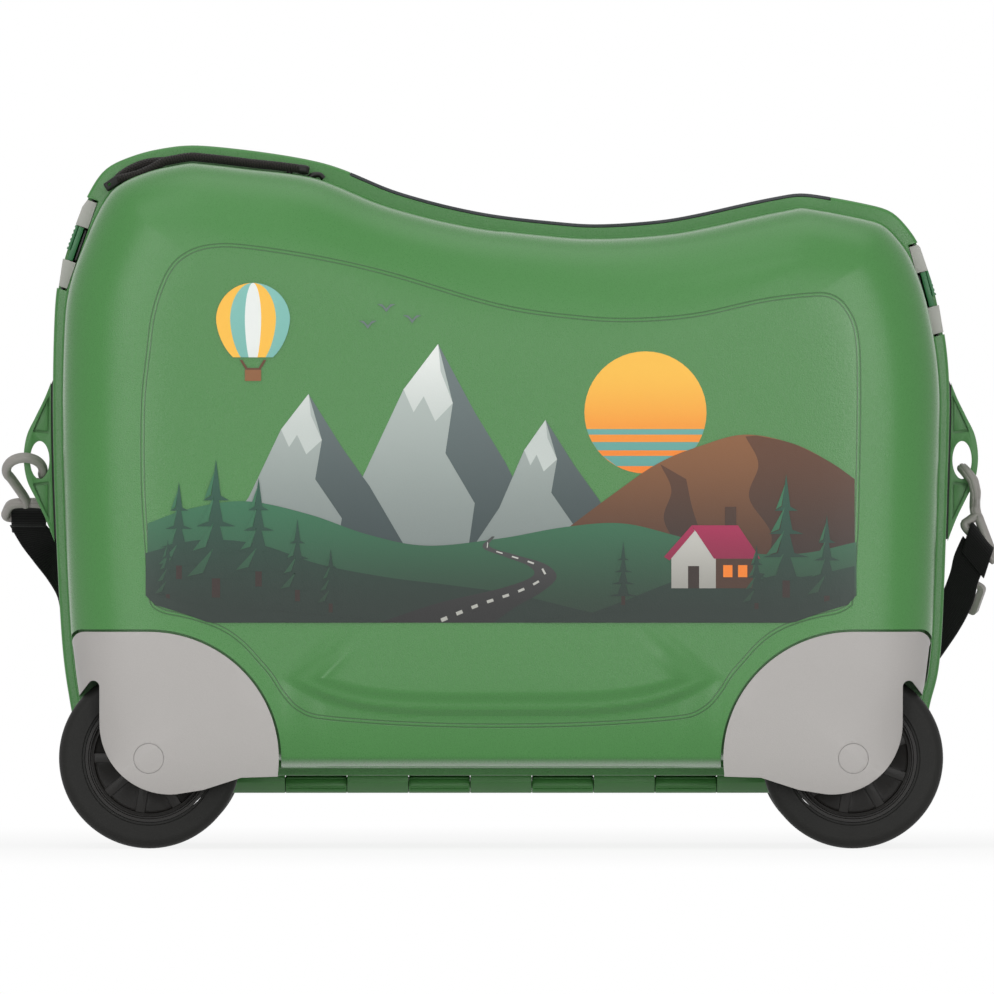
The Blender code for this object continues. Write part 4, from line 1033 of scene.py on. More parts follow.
@dataclass
class Shell:
    """One moulded shell: rim, bulge, sunk skirt, wells, pockets, axle bosses and hinge knuckles."""

    side: Side
    well: float = 0.0032
    seat_skin: float = 0.0039
    hinge_count: int = 9
    hinge_share: float = 0.62
    barrel: float = 0.0046

    def well_tool(self, end: End, grow: float) -> Thing:
        """The round well of a wheel, or the room that it takes inside."""
        x, s = end.value * WHEEL_X, self.side.value
        near = Vector((x, s * (WHEEL_INNER - self.well - grow), WHEEL_RADIUS))
        far = Vector((x, s * (FORM.depth / 2 + 0.01), WHEEL_RADIUS))
        return as_object("well", bar(near, far, WHEEL_RADIUS + self.well + grow, 96))

    def seat_tool(self, end: End, margin: float, skin: float) -> Thing:
        """What the shell loses under a wheel cover."""
        outline = cover_outline(end, margin)
        s = self.side.value
        block = as_object("seat", prism(outline, s * (COVER_INNER - margin), s * (FORM.depth / 2 + 0.004)))
        core = as_object("core", loft(FORM.bulge_rings(self.side, skin, 0.0)))
        return carve(block, [core])

    def pocket_tool(self, end: End, grow: float) -> Thing:
        """The pocket of a latch."""
        height = FORM.nose - 0.0507 if end is End.NOSE else FORM.tail - 0.0503
        half = 0.0494 / 2 + 0.0013 + grow
        place = FORM.rim_place(end, height)
        block = box_in(place, (-half, -0.035, -0.0081 - grow), (half, 0.0166 + grow, 0.010))
        return as_object("pocket", block)

    def panel_field(self, thing: Thing) -> None:
        """Keep each vertex's distance inside the film's edge on the mesh, as the panel attribute."""
        edge = numpy.array([tuple(p) for p in panel_edge(600)])
        count = len(thing.data.vertices)
        flat = numpy.empty(count * 3)
        thing.data.vertices.foreach_get("co", flat)
        place = flat.reshape(-1, 3)
        spots = place[:, [0, 2]] * numpy.array([self.side.value * -1.0, 1.0])
        after = numpy.roll(edge, -1, axis=0)
        values = numpy.full(count, -0.05)
        shown = numpy.where(place[:, 1] * self.side.value > 0.085)[0]
        along = after - edge
        length = (along ** 2).sum(axis=1)
        for part in numpy.array_split(shown, max(1, len(shown) // 2000)):
            rel = spots[part][:, None, :] - edge[None]
            share = numpy.clip((rel * along).sum(axis=2) / length, 0.0, 1.0)
            gap = numpy.linalg.norm(rel - share[..., None] * along, axis=2).min(axis=1)
            x, z = spots[part][:, 0][:, None], spots[part][:, 1][:, None]
            crosses = (edge[:, 1] > z) != (after[:, 1] > z)
            with numpy.errstate(divide="ignore", invalid="ignore"):
                meet = (after[:, 0] - edge[:, 0]) * (z - edge[:, 1]) / (after[:, 1] - edge[:, 1]) + edge[:, 0]
            inside = (crosses & (x < meet)).sum(axis=1) % 2 == 1
            values[part] = numpy.where(inside, gap, -gap)
        thing.data.attributes.new("panel", "FLOAT", "POINT").data.foreach_set("value", values)

    def shell(self, shop: Workshop) -> Thing:
        """Build and dress the shell.

        Args:
            shop: the workshop.

        Returns:
            The shell.
        """
        s = self.side.value
        name = self.side.label
        body = as_object(f"shell_{name}", loft(FORM.rim_rings(self.side)
                                               + FORM.bulge_rings(self.side, 0.0, 0.0275, recess=0.0)))
        rings = FORM.bulge_rings(self.side, FORM.wall, 0.0, count=240, recess=FORM.wall)
        rings[0] = [Vector((p.x, -s * FORM.wall, p.z)) for p in rings[0]]
        room = as_object("room", loft(rings))
        tools = []
        for end in End:
            carve(room, [self.seat_tool(end, FORM.wall, self.seat_skin + FORM.wall),
                         self.well_tool(end, FORM.wall), self.pocket_tool(end, FORM.wall)])
            tools += [self.seat_tool(end, 0.0013, self.seat_skin), self.well_tool(end, 0.0),
                      self.pocket_tool(end, 0.0)]
        carve(body, tools + [room, seat_band(0.0003)])
        for end in End:
            foot = Vector((end.value * WHEEL_X, s * 0.0512, WHEEL_RADIUS))
            tip = foot + Vector((0, s * 0.0048, 0))
            reach = Vector((0, s * 0.004, 0))
            carve(body, [bar(foot, tip, AXLE_BOSS, 40)], "UNION")
            carve(body, [bar(foot - reach, tip + reach, AXLE_BORE, 32)])
        self.panel_field(body)
        shaded(body, 28.0)
        return shop.dress(body, "filmed green shell", name, "shell", f"{name}_shell")

    def knuckles(self, shop: Workshop) -> Thing:
        """Build the hinge knuckles of the shell, with their leaves up to the rim."""
        s = self.side.value
        axis = FORM.bottom - self.barrel - 0.0006
        pitch = self.hinge_share * FORM.length / self.hinge_count
        section = [(s * 0.0090, axis + 0.0012), (s * 0.0090, FORM.bottom - 0.0001),
                   (s * 0.0003, FORM.bottom - 0.0001)]
        section += [(s * y, z) for y, z in arc((0, axis), self.barrel, 92, 300, 26)]
        bodies = []
        for number in range(0 if s < 0 else 1, self.hinge_count, 2):
            left = (number - self.hinge_count / 2) * pitch + 0.0002
            right = left + pitch - 0.0004
            bodies.append(loft([[Vector((x, y, z)) for y, z in section] for x in (left, right)]))
        row = as_object(f"hinge_knuckles_{self.side.label}", joined(bodies))
        tools = [bar(Vector((-0.17, 0, axis)), Vector((0.17, 0, axis)), 0.0022, 28)]
        if s > 0:
            for number in range(1, self.hinge_count, 2):
                left = (number - self.hinge_count / 2) * pitch
                for rise in (0.0034, -0.0018):
                    depth = math.sqrt(self.barrel ** 2 - rise ** 2)
                    start = Vector((left + 0.0010, -depth, axis + rise))
                    tools.append(bar(start, start + Vector((pitch - 0.0020, 0, 0)), 0.0007, 12))
        carve(row, tools)
        shaded(softened(row, 0.00045, 2, 40.0))
        # Dark discs fill the gaps between the knuckles: painted shade for those gaps.
        if s > 0:
            rings = []
            for number in range(1, self.hinge_count):
                place = (number - self.hinge_count / 2) * pitch
                rings.append(turned_x(self.barrel - 0.0003, 0.0024, Vector((place, 0, axis)), 0.00016))
            shop.dress(shaded(as_object("hinge_gap_shade", joined(rings))), "hinge shade", "base", "shell")
        return shop.dress(row, "hinge green", self.side.label, "shell")


def turned_x(outer: float, inner: float, centre: Vector, half: float) -> Body:
    """A thin disc round an axis along X, with rounded corners, set in the hinge's gaps as painted shade."""
    section = [(inner, -half), (outer - half, -half), (outer, -half * 0.4), (outer, half * 0.4),
               (outer - half, half), (inner, half)]
    steps = 40
    rings = []
    for i in range(steps):
        a = math.tau * i / steps
        rings.append([centre + Vector((b, r * math.cos(a), r * math.sin(a))) for r, b in section])
    bm = bmesh.new()
    rows = [[bm.verts.new(p) for p in ring] for ring in rings]
    for i, row in enumerate(rows):
        after = rows[(i + 1) % steps]
        for k in range(len(section)):
            m = (k + 1) % len(section)
            bm.faces.new((row[k], row[m], after[m], after[k]))
    bmesh.ops.recalc_face_normals(bm, faces=bm.faces)
    return bm


def cover_outline(end: End, margin: float = 0.0) -> list[Point2]:
    """Outline of a wheel cover.

    Args:
        end: which end of the case.
        margin: how far it is grown all round.

    Returns:
        Points of (x, z).
    """
    wide, tall, drop = 0.0703 + margin, 0.0684 + margin, 0.0195 + margin
    cut, corner = -0.0268 - margin, 0.0070
    points = [(wide * a, tall * b) for a, b in arc((0, 0), 1.0, 90, -7, 44)]
    points += [(wide - 0.0005, -0.0098 - margin), (0.0500, -0.0104 - margin), (0.0295, -0.0170 - margin)]
    bend = 0.0115 - cut
    points += arc((0.0115, bend - drop), bend, -85, -180, 24)
    crest = 0.0033 - margin * 0.5
    points += arc((cut - crest, 0.0387 - margin), crest, 0, 128, 8)
    points += [(-0.0382 - margin, 0.0336 - margin), (-0.0414 - margin, 0.0600)]
    points += arc((-0.0422 - margin + corner, tall - corner), corner, 174, 90, 10)
    return [(end.value * (WHEEL_X - x), WHEEL_RADIUS + z) for x, z in points]


def panel_edge(count: int) -> list[Vector]:
    """Closed edge of the film on the lid's face, as (x, z) in metres."""
    left = ((-188.8, 132.5), (-189.0, 135.5), (-191.8, 167.0), (-193.6, 199.5), (-193.5, 240.0),
            (-190.7, 268.2), (-187.5, 290.8), (-179.9, 311.3), (-169.7, 321.6), (-155.6, 325.9),
            (-136.7, 325.4), (-98.4, 319.5), (-60.0, 310.8), (-0.5, 293.5))
    right = ((43.8, 287.1), (74.0, 286.0), (105.9, 288.7), (140.4, 296.2), (165.3, 299.4), (177.7, 299.0),
             (185.8, 293.0), (191.8, 280.0), (193.4, 255.2), (192.8, 199.5), (191.8, 167.0), (189.0, 135.5),
             (188.8, 132.5))
    arch = ((182.5, 128.6), (172.5, 126.5), (162.7, 123.9), (151.5, 119.6), (140.8, 112.6), (130.9, 102.0),
            (124.3, 94.3), (119.3, 86.5), (113.2, 78.8), (108.0, 74.8), (102.2, 72.2), (92.5, 70.7),
            (75.0, 69.2), (54.6, 67.9), (28.0, 66.9))
    edge = left + right + arch + ((0.0, 66.6),) + tuple((-x, z) for x, z in reversed(arch))
    return smooth_line([(x * MM, z * MM) for x, z in edge], count, closed=True)


def seat_band(grow: float) -> Thing:
    """The strip's room in the top of the rim, across both shells."""
    low_x, high_x = NOSE_CREST * FORM.length + 0.0760 - grow, TAIL_CREST * FORM.length + 0.0110 + grow
    block = as_object("strip", box_in(Matrix(), (low_x, -0.05, 0.2), (high_x, 0.05, 0.39)))
    return carve(block, [FORM.band(0.0016 + grow, -0.06, 0.06)])


@dataclass
class WheelSet:
    """One wheel with its cover, axle cap and axle."""

    side: Side
    end: End
    x: float = WHEEL_X
    radius: float = WHEEL_RADIUS
    inner: float = WHEEL_INNER
    width: float = 0.0265
    rubber: float = 0.0140
    shoulder: float = 0.0055
    spokes: int = 9
    cap: float = 0.0080

    @property
    def tag(self) -> str:
        """Ending of the names of this wheel's pieces."""
        return f"{self.side.label}_{self.end.label}"

    def centre(self, depth: float) -> Vector:
        """A point on the wheel's axis."""
        return Vector((self.end.value * self.x, self.side.value * depth, self.radius))

    def skin_slice(self, name: str, block: Body, skin: float, proud: float = 0.0) -> Thing:
        """The part of a block between two skins of the covers' outer surface.

        Args:
            name: the new object's name.
            block: the body that is cut.
            skin: how far below the surface it ends.
            proud: how far above the surface it ends.

        Returns:
            The slice.
        """
        thing = as_object(name, block)
        outer = as_object("outer", loft(FORM.bulge_rings(self.side, -proud, 0.02, COVER_LOW)))
        carve(thing, [outer], "INTERSECT")
        return carve(thing, [loft(FORM.bulge_rings(self.side, skin, 0.0, COVER_LOW))])

    def cover(self, shop: Workshop) -> None:
        """Build the cover with its boss, and the cap that closes its axle hole."""
        s = self.side.value
        outline = cover_outline(self.end)
        block = prism(outline, s * COVER_INNER, s * FORM.depth / 2)
        cover = self.skin_slice(f"cover_{self.tag}", block, 0.0030)
        boss = bar(self.centre(self.inner + self.width + 0.001), self.centre(0.1000), AXLE_BOSS, 40)
        carve(cover, [boss], "UNION")
        hole = bar(self.centre(0.0780), self.centre(0.1100), self.cap + 0.0002, 64)
        carve(cover, [self.skin_slice("seat", hole, 0.0024, 0.002)])
        bore = bar(self.centre(0.0800), self.centre(0.1060), AXLE_BORE, 32)
        carve(cover, [bore])
        shaded(softened(cover, 0.0005, 2, 48.0), 35.0)
        shop.dress(cover, "light grey", self.side.label, "light_grey", f"wheel_cover_{self.tag}")
        disc = bar(self.centre(0.0780), self.centre(0.1100), self.cap, 64)
        cap = self.skin_slice(f"axle_cap_piece_{self.tag}", disc, 0.0021)
        shaded(softened(cap, 0.00035, 2, 48.0), 35.0)
        shop.dress(cap, "light grey", self.side.label, "light_grey", f"axle_cap_{self.tag}")

    def tyre(self, shop: Workshop) -> None:
        """Spin the tyre: rounded shoulders, a groove in each side and a lip over the hub."""
        seat, r, w = self.radius - self.rubber, self.radius, self.width
        low, high = self.inner, self.inner + w
        profile = [(seat, low + 0.001), (seat + 0.0010, low)]
        profile += arc((r - self.shoulder, low + self.shoulder), self.shoulder, -90, 0, 9)
        profile += [(r, low + w * 0.32), (r - 0.0008, low + w * 0.335), (r - 0.0008, low + w * 0.365),
                    (r, low + w * 0.38)]
        profile += [(r, high - w * 0.38), (r - 0.0008, high - w * 0.365), (r - 0.0008, high - w * 0.335),
                    (r, high - w * 0.32)]
        profile += arc((r - self.shoulder, high - self.shoulder), self.shoulder, 0, 90, 9)
        profile += [(seat + 0.0016, high), (seat + 0.0011, high - 0.0006), (seat, high - 0.0008)]
        tyre = as_object(f"tyre_piece_{self.tag}",
                         turned([(a, self.side.value * b) for a, b in profile], self.centre(0.0), 128))
        shaded(tyre, 38.0)
        shop.dress(tyre, "tyre rubber", f"wheel_{self.tag}", "tyre", f"tyre_{self.tag}")

    def hub(self, shop: Workshop) -> None:
        """Spin the hub's rim, web and boss, and set the spokes across its hollow."""
        s = self.side.value
        rim = self.radius - self.rubber - 0.0003
        low, high = self.inner + 0.001, self.inner + self.width - 0.001
        web = high - 0.0042
        profile = [(AXLE_BORE, low), (rim, low), (rim, high), (rim - 0.0016, high),
                   (rim - 0.0020, high - 0.0010), (rim - 0.0026, high - 0.0010),
                   (rim - 0.0030, high - 0.0022), (rim - 0.0036, high - 0.0024),
                   (rim - 0.0046, high - 0.0020), (rim - 0.0052, web + 0.0006), (rim - 0.0062, web),
                   (0.0112, web), (0.0104, web + 0.0008), (0.0096, high - 0.0018),
                   (0.0088, high - 0.0012), (AXLE_BORE, high - 0.0012)]
        hub = as_object(f"hub_{self.tag}", turned([(a, s * b) for a, b in profile], self.centre(0.0), 128))
        bodies = []
        for number in range(self.spokes):
            turn = Matrix.Rotation(math.tau * (number + 0.5) / self.spokes, 4, "Y")
            place = Matrix.Translation(self.centre(0.0)) @ turn
            ends = sorted((s * (web - 0.001), s * (high - 0.0026)))
            spoke = box_in(place, (0.0080, ends[0], -0.0026), (rim - 0.0046, ends[1], 0.0026))
            bodies.append(eased(spoke, 0.0005, 2))
        carve(hub, [joined(bodies)], "UNION")
        shaded(hub, 35.0)
        shop.dress(hub, "hub black", f"wheel_{self.tag}", "black_plastic", f"wheel_hub_{self.tag}")

    def build(self, shop: Workshop) -> None:
        """Make the whole set."""
        self.cover(shop)
        self.tyre(shop)
        self.hub(shop)
        shop.coat_node("zinc plate", f"axle_{self.tag}")


@dataclass
class Latch:
    """One edge latch: grey lever, green base and ribbed slider, pin and keeper."""

    end: End

    def build(self, shop: Workshop) -> None:
        """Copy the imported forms, with their edges rounded."""
        e = self.end.label
        for node, piece, width, segments, finish, body, slot in (
                ("latch_lever", "lever", 0.0007, 3, "latch grey", f"latch_{e}", "light_grey"),
                ("latch_base", "latch_plate", 0.0004, 2, "latch green", f"latch_{e}", "latch_green"),
                ("latch_slider", "slider_piece", 0.00022, 2, "latch green", f"slider_{e}", "latch_green"),
                # Keeper and pin are darkened so that the slit round the lever reads as shade: painted shade.
                ("latch_keeper", "keeper", 0.0004, 2, "steel in painted shade", "lid", "steel"),
                ("latch_pin", "pin", 0.0003, 2, "steel in painted shade", "base", "steel")):
            copy = refined(f"{node}_{e}", f"{piece}_{e}", width, segments)
            shop.dress(copy, finish, body, slot, f"{node}_{e}")


@dataclass
class Lug:
    """A strap lug with its eye, two sunk panels and a black strip at its root, painted shade for the dark gap
    there.
    """

    end: End
    height: float = 0.0920
    reach: float = 0.0168
    thickness: float = 0.0060
    eye_width: float = 0.0106
    eye_height: float = 0.0207
    root_shade: float = 0.0016

    def eye(self) -> Vector:
        """Centre of the eye."""
        place = FORM.lug_place(self.end)
        return place + Vector((self.end.value * (self.reach - 0.0034 - self.eye_width / 2), 0, -0.0013))

    def outline(self, shrink: float = 0.0) -> list[Point2]:
        """The arch, with its root inside the rim."""
        place = FORM.lug_place(self.end)
        half = (self.height - shrink) / 2
        knots = [(-1.0, 0.0), (-0.72, 0.30), (-0.48, 0.62), (-0.26, 0.90), (0.0, 1.0), (0.26, 0.90),
                 (0.48, 0.62), (0.72, 0.30), (1.0, 0.0)]
        arch = smooth_line([(out * self.reach, along * half) for along, out in knots], 60)
        points = [(-0.0053, -half)] + [(p.x, p.y) for p in arch] + [(-0.0053, half)]
        return [(place.x + self.end.value * out, place.z + along) for out, along in points]

    def build(self, shop: Workshop) -> None:
        """Make the lug and the black strip of painted shade at its root."""
        e = self.end.label
        near, far = LUG_DEPTH - self.thickness / 2, LUG_DEPTH + self.thickness / 2
        lug = as_object(f"lug_{e}", prism(self.outline(), near, far))
        carve(lug, [FORM.band(-self.root_shade, -0.03, 0.03)])
        centre = self.eye()
        ring = [(centre.x + self.eye_width / 2 * math.cos(a), centre.z + self.eye_height / 2 * math.sin(a))
                for a in (math.tau * i / 48 for i in range(48))]
        tools = [as_object("eye", prism(ring, near - 0.003, far + 0.003))]
        place = FORM.lug_place(self.end)
        for way in (-1, 1):
            base, tip = way * (self.eye_height / 2 + 0.0026), way * (self.height / 2 - 0.0118)
            shape = [(0.0026, base), (0.0026, tip), (self.reach * 0.46, (base + tip) / 2),
                     (self.reach * 0.72, base + way * 0.0010)]
            points = [(place.x + self.end.value * a, place.z + b) for a, b in shape]
            middle_x, middle_z = (sum(values) / len(points) for values in zip(*points))
            inner = [(middle_x + (x - middle_x) * 0.70, middle_z + (z - middle_z) * 0.80) for x, z in points]
            for start, stop, floor in ((near - 0.003, near + 0.0026, near + 0.0016),
                                       (far - 0.0026, far + 0.003, far - 0.0016)):
                panel = as_object("panel", prism(rounded(points, 0.0014), start, stop))
                ends = (floor, stop + 0.002) if start < near else (start - 0.002, floor)
                tools.append(carve(panel, [prism(rounded(inner, 0.0009), *ends)]))
        carve(lug, tools)
        shaded(softened(lug, 0.00045, 3, 40.0))
        shop.dress(lug, "green moulding", "base", "shell", f"strap_lug_{e}")
        # The black strip stands in for the shade in the gap at the lug's root: painted shade.
        root_shade = as_object(f"lug_joint_{e}", prism(self.outline(0.003), near + 0.0006, far - 0.0006))
        carve(root_shade, [FORM.band(0.0002, -0.03, 0.03)])
        carve(root_shade, [FORM.band(-self.root_shade - 0.0002, -0.03, 0.03)], "INTERSECT")
        shop.dress(shaded(root_shade), "black plastic", "base", "black_plastic")


@dataclass
class Hook:
    """A strap hook with an open ring, a neck and a bar loop, and its gate."""

    end: End
    lug: Lug
    ring: float = 0.0100
    thickness: float = 0.0052
    through: float = 0.0060
    half: float = 0.0125

    @property
    def neck(self) -> float:
        """How far the neck reaches below the ring's centre."""
        return 0.0235 if self.end is End.NOSE else 0.0128

    @property
    def loop_scale(self) -> float:
        """How thick the loop is next to the neck."""
        return 0.96 if self.end is End.NOSE else 1.0

    def place(self) -> Matrix:
        """Frame at the ring's centre: X across, Y up to the ring, Z through it."""
        eye = self.lug.eye()
        if self.end is End.NOSE:
            lean = math.radians(43.0)
            up = Vector((0, -math.cos(lean), math.sin(lean)))
            across = Vector((1, 0, 0))
            centre = eye + Vector((-self.ring + 0.0018, 0, -0.0056))
        else:
            lean = math.radians(16.3)
            up = Vector((-math.sin(lean), 0, math.cos(lean)))
            across = Vector((0, 1, 0))
            centre = eye + Vector((0, 0, -0.0044)) - up * self.ring
        place = Matrix((across, up, across.cross(up))).transposed().to_4x4()
        place.translation = centre
        return place

    def spot(self, u: float, v: float) -> Vector:
        """A point of the hook's middle surface, which bows outwards at the tail."""
        marks = ((-0.0190, 0.0000), (-0.0130, 0.0006), (-0.0096, 0.0015), (-0.0045, 0.0032),
                 (0.0018, 0.0036), (0.0066, 0.0018), (0.0100, 0.0002), (0.0200, 0.0000))
        bow = 0.0
        for (low, before), (high, after) in zip(marks, marks[1:]):
            if self.end is End.TAIL and low <= v <= high:
                bow = before + (after - before) * (v - low) / (high - low)
        return self.place() @ Vector((u, v, bow))

    def loop_frame(self) -> tuple[Vector, Vector, Vector]:
        """Where the loop starts, half of its bar, and the way from its start down to the bar."""
        place = self.place()
        start = place @ Vector((0, -self.neck - self.thickness / 2, 0))
        if self.end is End.NOSE:
            half = place.col[0].xyz * self.half
            return start + Vector((0.0014, 0, 0)), half, Vector((0.0, 0.0130, -0.0078))
        tilt = math.radians(50.0)
        half = Vector((math.cos(tilt), 0, -math.sin(tilt))) * self.half
        return start + Vector((0.0013, 0, -0.0016)), half, Vector((0.0012, 0, -0.0150))

    def bar_place(self) -> Matrix:
        """Frame at the middle of the strap's bar: X along it, Y down the strap, Z through it."""
        start, half, down = self.loop_frame()
        across = half.normalized()
        hang = down.normalized() if self.end is End.NOSE else Vector((-0.30, 0, -0.954))
        place = Matrix((across, hang, across.cross(hang).normalized())).transposed().to_4x4()
        place.translation = start + down
        return place

    def section(self, scale: float = 1.0) -> list[Point2]:
        """An oval section with two fine channels along each of its faces."""
        points = []
        for i in range(48):
            a = math.tau * i / 48
            dent = 0.0
            if abs(math.sin(a)) > 0.6:
                dent = 0.00050 * max(0.0, 1 - abs(abs(math.cos(a)) - 0.42) / 0.16)
            points.append((self.through / 2 * math.cos(a) * scale,
                           (self.thickness / 2 - dent) * math.sin(a) * scale))
        return points

    def build(self, shop: Workshop) -> None:
        """Sweep the ring and neck, then the loop, and join them."""
        e = self.end.label
        place = self.place()
        turn = [Vector(p) for p in arc((0, 0), self.ring, -35.0, 222.0, 44)]
        neck = [Vector((-0.0020, -0.78 * self.neck)), Vector((0, -self.neck)),
                Vector((0, -self.neck - self.thickness * 0.8))]
        line = smooth_line(turn[::4] + neck, 84)
        points = [self.spot(p.x, p.y) for p in line]
        ways = [place.col[2].xyz] * len(points)
        scales = [math.sqrt(min(1.0, (i + 0.35) / 4.0)) if i < 4 else 1.0 for i in range(len(points))]
        hook = as_object(f"hook_piece_{e}", sweep(points, self.section(), ways, scales))
        start, half, down = self.loop_frame()
        if self.end is End.NOSE:
            shape = [(0.0, 0.0), (0.52, 0.03), (0.80, 0.19), (0.94, 0.56), (1.0, 0.85), (0.84, 1.0),
                     (0.4, 1.0)]
        else:
            shape = [(0.0, 0.0), (0.26, 0.22), (0.52, 0.47), (0.80, 0.74), (0.99, 0.93), (0.90, 1.02),
                     (0.4, 1.0)]
        knots = shape + [(-u, v) for u, v in reversed(shape)][:-1]
        loop = smooth_line([start + half * u + down * v for u, v in knots], 96, closed=True)
        face = half.cross(down).normalized()
        other = as_object("loop", sweep(loop + loop[:3], self.section(self.loop_scale), [face] * 99))
        carve(hook, [other], "UNION")
        shaded(hook, 50.0)
        shop.dress(hook, "hook grey", f"hook_{e}", "hook_grey", f"strap_hook_{e}")
        root = Vector((0.0030, -0.0128, 0)) if self.end is End.NOSE else Vector((0.0035, -0.0112, 0))
        tip = math.radians(-35.0)
        goal = Vector((self.ring * math.cos(tip), self.ring * math.sin(tip), 0))
        stop = root + (goal - root).normalized() * ((goal - root).length - 0.0012)
        bend = (root + stop) / 2 + Vector((0.0007, -0.0007, 0))
        path = [self.spot(p[0], p[1]) for p in smooth_line([root, bend, stop], 18)]
        swell = [0.62 + 0.38 * math.sin(math.pi * min(1.0, (i + 1) / 6) / 2) for i in range(18)]
        swell[-2:] = [0.8, 0.45]
        gate = as_object(f"gate_piece_{e}", sweep(path, round_section(0.0013, 16), None, swell))
        shop.dress(shaded(gate, 60.0), "hook grey", f"gate_{e}", "hook_grey", f"hook_gate_{e}")


@dataclass
class RopeGrip:
    """A grip of two braided cords that lie along the foot of the rim, with moulded ends."""

    side: Side
    radius: float = 0.0024
    spacing: float = 0.0051
    plies: int = 5
    pitch: float = 0.0085
    half_span: float = 0.0560

    def strand(self, row: int, count: int) -> list[Vector]:
        """Middle line of one cord.

        Args:
            row: 0 for the cord nearer the seam, 1 for the other.
            count: how many points.

        Returns:
            The points.
        """
        crest = NOSE_CREST * FORM.length
        outline = FORM.outline(FORM.bottom, 720)
        depth = self.side.value * (FORM.rim + 0.0010 + self.radius + row * self.spacing)
        path = []
        for p, n in zip(outline, FORM.normals(outline)):
            if crest - self.half_span <= p.x <= crest + self.half_span and p.y > FORM.seat:
                past = min(1.0, max(0.0, (p.x - crest + self.half_span) / 0.0300))
                part = math.sin(math.pi * past) * (0.0026 if row else -0.0018)
                lift = self.radius + 0.0006 - FORM.step(p, n) - part
                path.append(Vector((p.x + n.x * lift, depth, p.y + n.y * lift)))
        return even_points(path, count)

    def build(self, shop: Workshop) -> None:
        """Twist the plies of both cords, then build the tab and the cap with its tongue at their ends."""
        name = self.side.label
        bodies = []
        for row in (0, 1):
            line = self.strand(row, 150)
            core = self.strand(row, 60)
            bodies.append(sweep(core, round_section(self.radius * 0.62, 10)))
            length = sum((b - a).length for a, b in zip(line, line[1:]))
            for ply in range(self.plies):
                points = []
                for i, p in enumerate(line):
                    along = (line[min(i + 1, 149)] - line[max(i - 1, 0)]).normalized()
                    out = along.cross(Vector((0, 1, 0))).normalized()
                    wide = along.cross(out).normalized()
                    turn = math.tau * (i / 149 * length / self.pitch + ply / self.plies) * (1 - 2 * row)
                    ring = self.radius * 0.56
                    points.append(p + (out * math.cos(turn) + wide * math.sin(turn)) * ring)
                bodies.append(sweep(points, round_section(self.radius * 0.47, 8)))
        cord = shaded(as_object(f"grip_{name}", joined(bodies)), 50.0)
        shop.dress(cord, "braided cord", name, "rope", f"rope_grip_{name}")
        wide = self.spacing / 2 + self.radius
        place = self.end_place(-1)
        tab = box_in(place, (-0.0010, -wide * 0.86, -self.radius - 0.0005),
                     (0.0080, wide * 0.86, self.radius - 0.0003))
        tab = as_object(f"anchor_{name}_front", eased(tab, 0.0009, 3))
        eye = bar(place @ Vector((0.0050, -wide - 0.01, 0)), place @ Vector((0.0050, wide + 0.01, 0)),
                  0.0010, 20)
        carve(tab, [eye])
        shop.dress(shaded(tab), "black plastic", name, "black_plastic", f"grip_anchor_{name}_front")
        place = self.end_place(1)
        path = [(-0.0092, 0.0010), (-0.0100, -0.0018), (-0.0080, -0.0046), (-0.0040, -0.0058),
                (0.0004, -0.0046), (0.0034, -0.0022), (0.0068, -0.0016), (0.0092, -0.0032)]
        line = smooth_line([(a, 0.0, b) for a, b in path], 40)
        swell = [0.86 + 0.14 * math.sin(math.pi * i / 39) for i in range(40)]
        hook = sweep([place @ Vector(p) for p in line], round_section(0.0017, 16, 1.9), None, swell)
        cap = box_in(place, (-0.0060, -wide, -self.radius - 0.0002), (0.0008, wide, self.radius + 0.0002))
        end = as_object(f"anchor_{name}_rear", hook)
        carve(end, [eased(cap, 0.0019, 3)], "UNION")
        shop.dress(shaded(end, 45.0), "black plastic", name, "black_plastic", f"grip_anchor_{name}_rear")

    def end_place(self, way: int) -> Matrix:
        """Frame at one end of the grip: X out of its end, Y across the cords."""
        strands = [self.strand(row, 9) for row in (0, 1)]
        last, inner = (0, 1) if way < 0 else (-1, -2)
        along = (strands[0][last] - strands[0][inner]).normalized()
        across = Vector((0, 1, 0))
        out = along.cross(across)
        out = out if out.z > 0 else -out
        place = Matrix((along, across, out)).transposed().to_4x4()
        place.translation = (strands[0][last] + strands[1][last]) / 2
        return place


@dataclass
class SeatStrip:
    """The soft dark strip let into the top of one rim."""

    side: Side

    def build(self, shop: Workshop) -> None:
        """Slice the strip from the rim's own form."""
        s = self.side.value
        name = self.side.label
        strip = seat_band(0.0)
        strip.name = f"strip_{name}"
        carve(strip, [FORM.band(0.0, s * 0.0003, s * (FORM.rim - 0.001))], "INTERSECT")
        shaded(softened(strip, 0.0004, 2, 45.0))
        shop.dress(strip, "grip strip", name, "seat_strip", f"seat_strip_{name}")


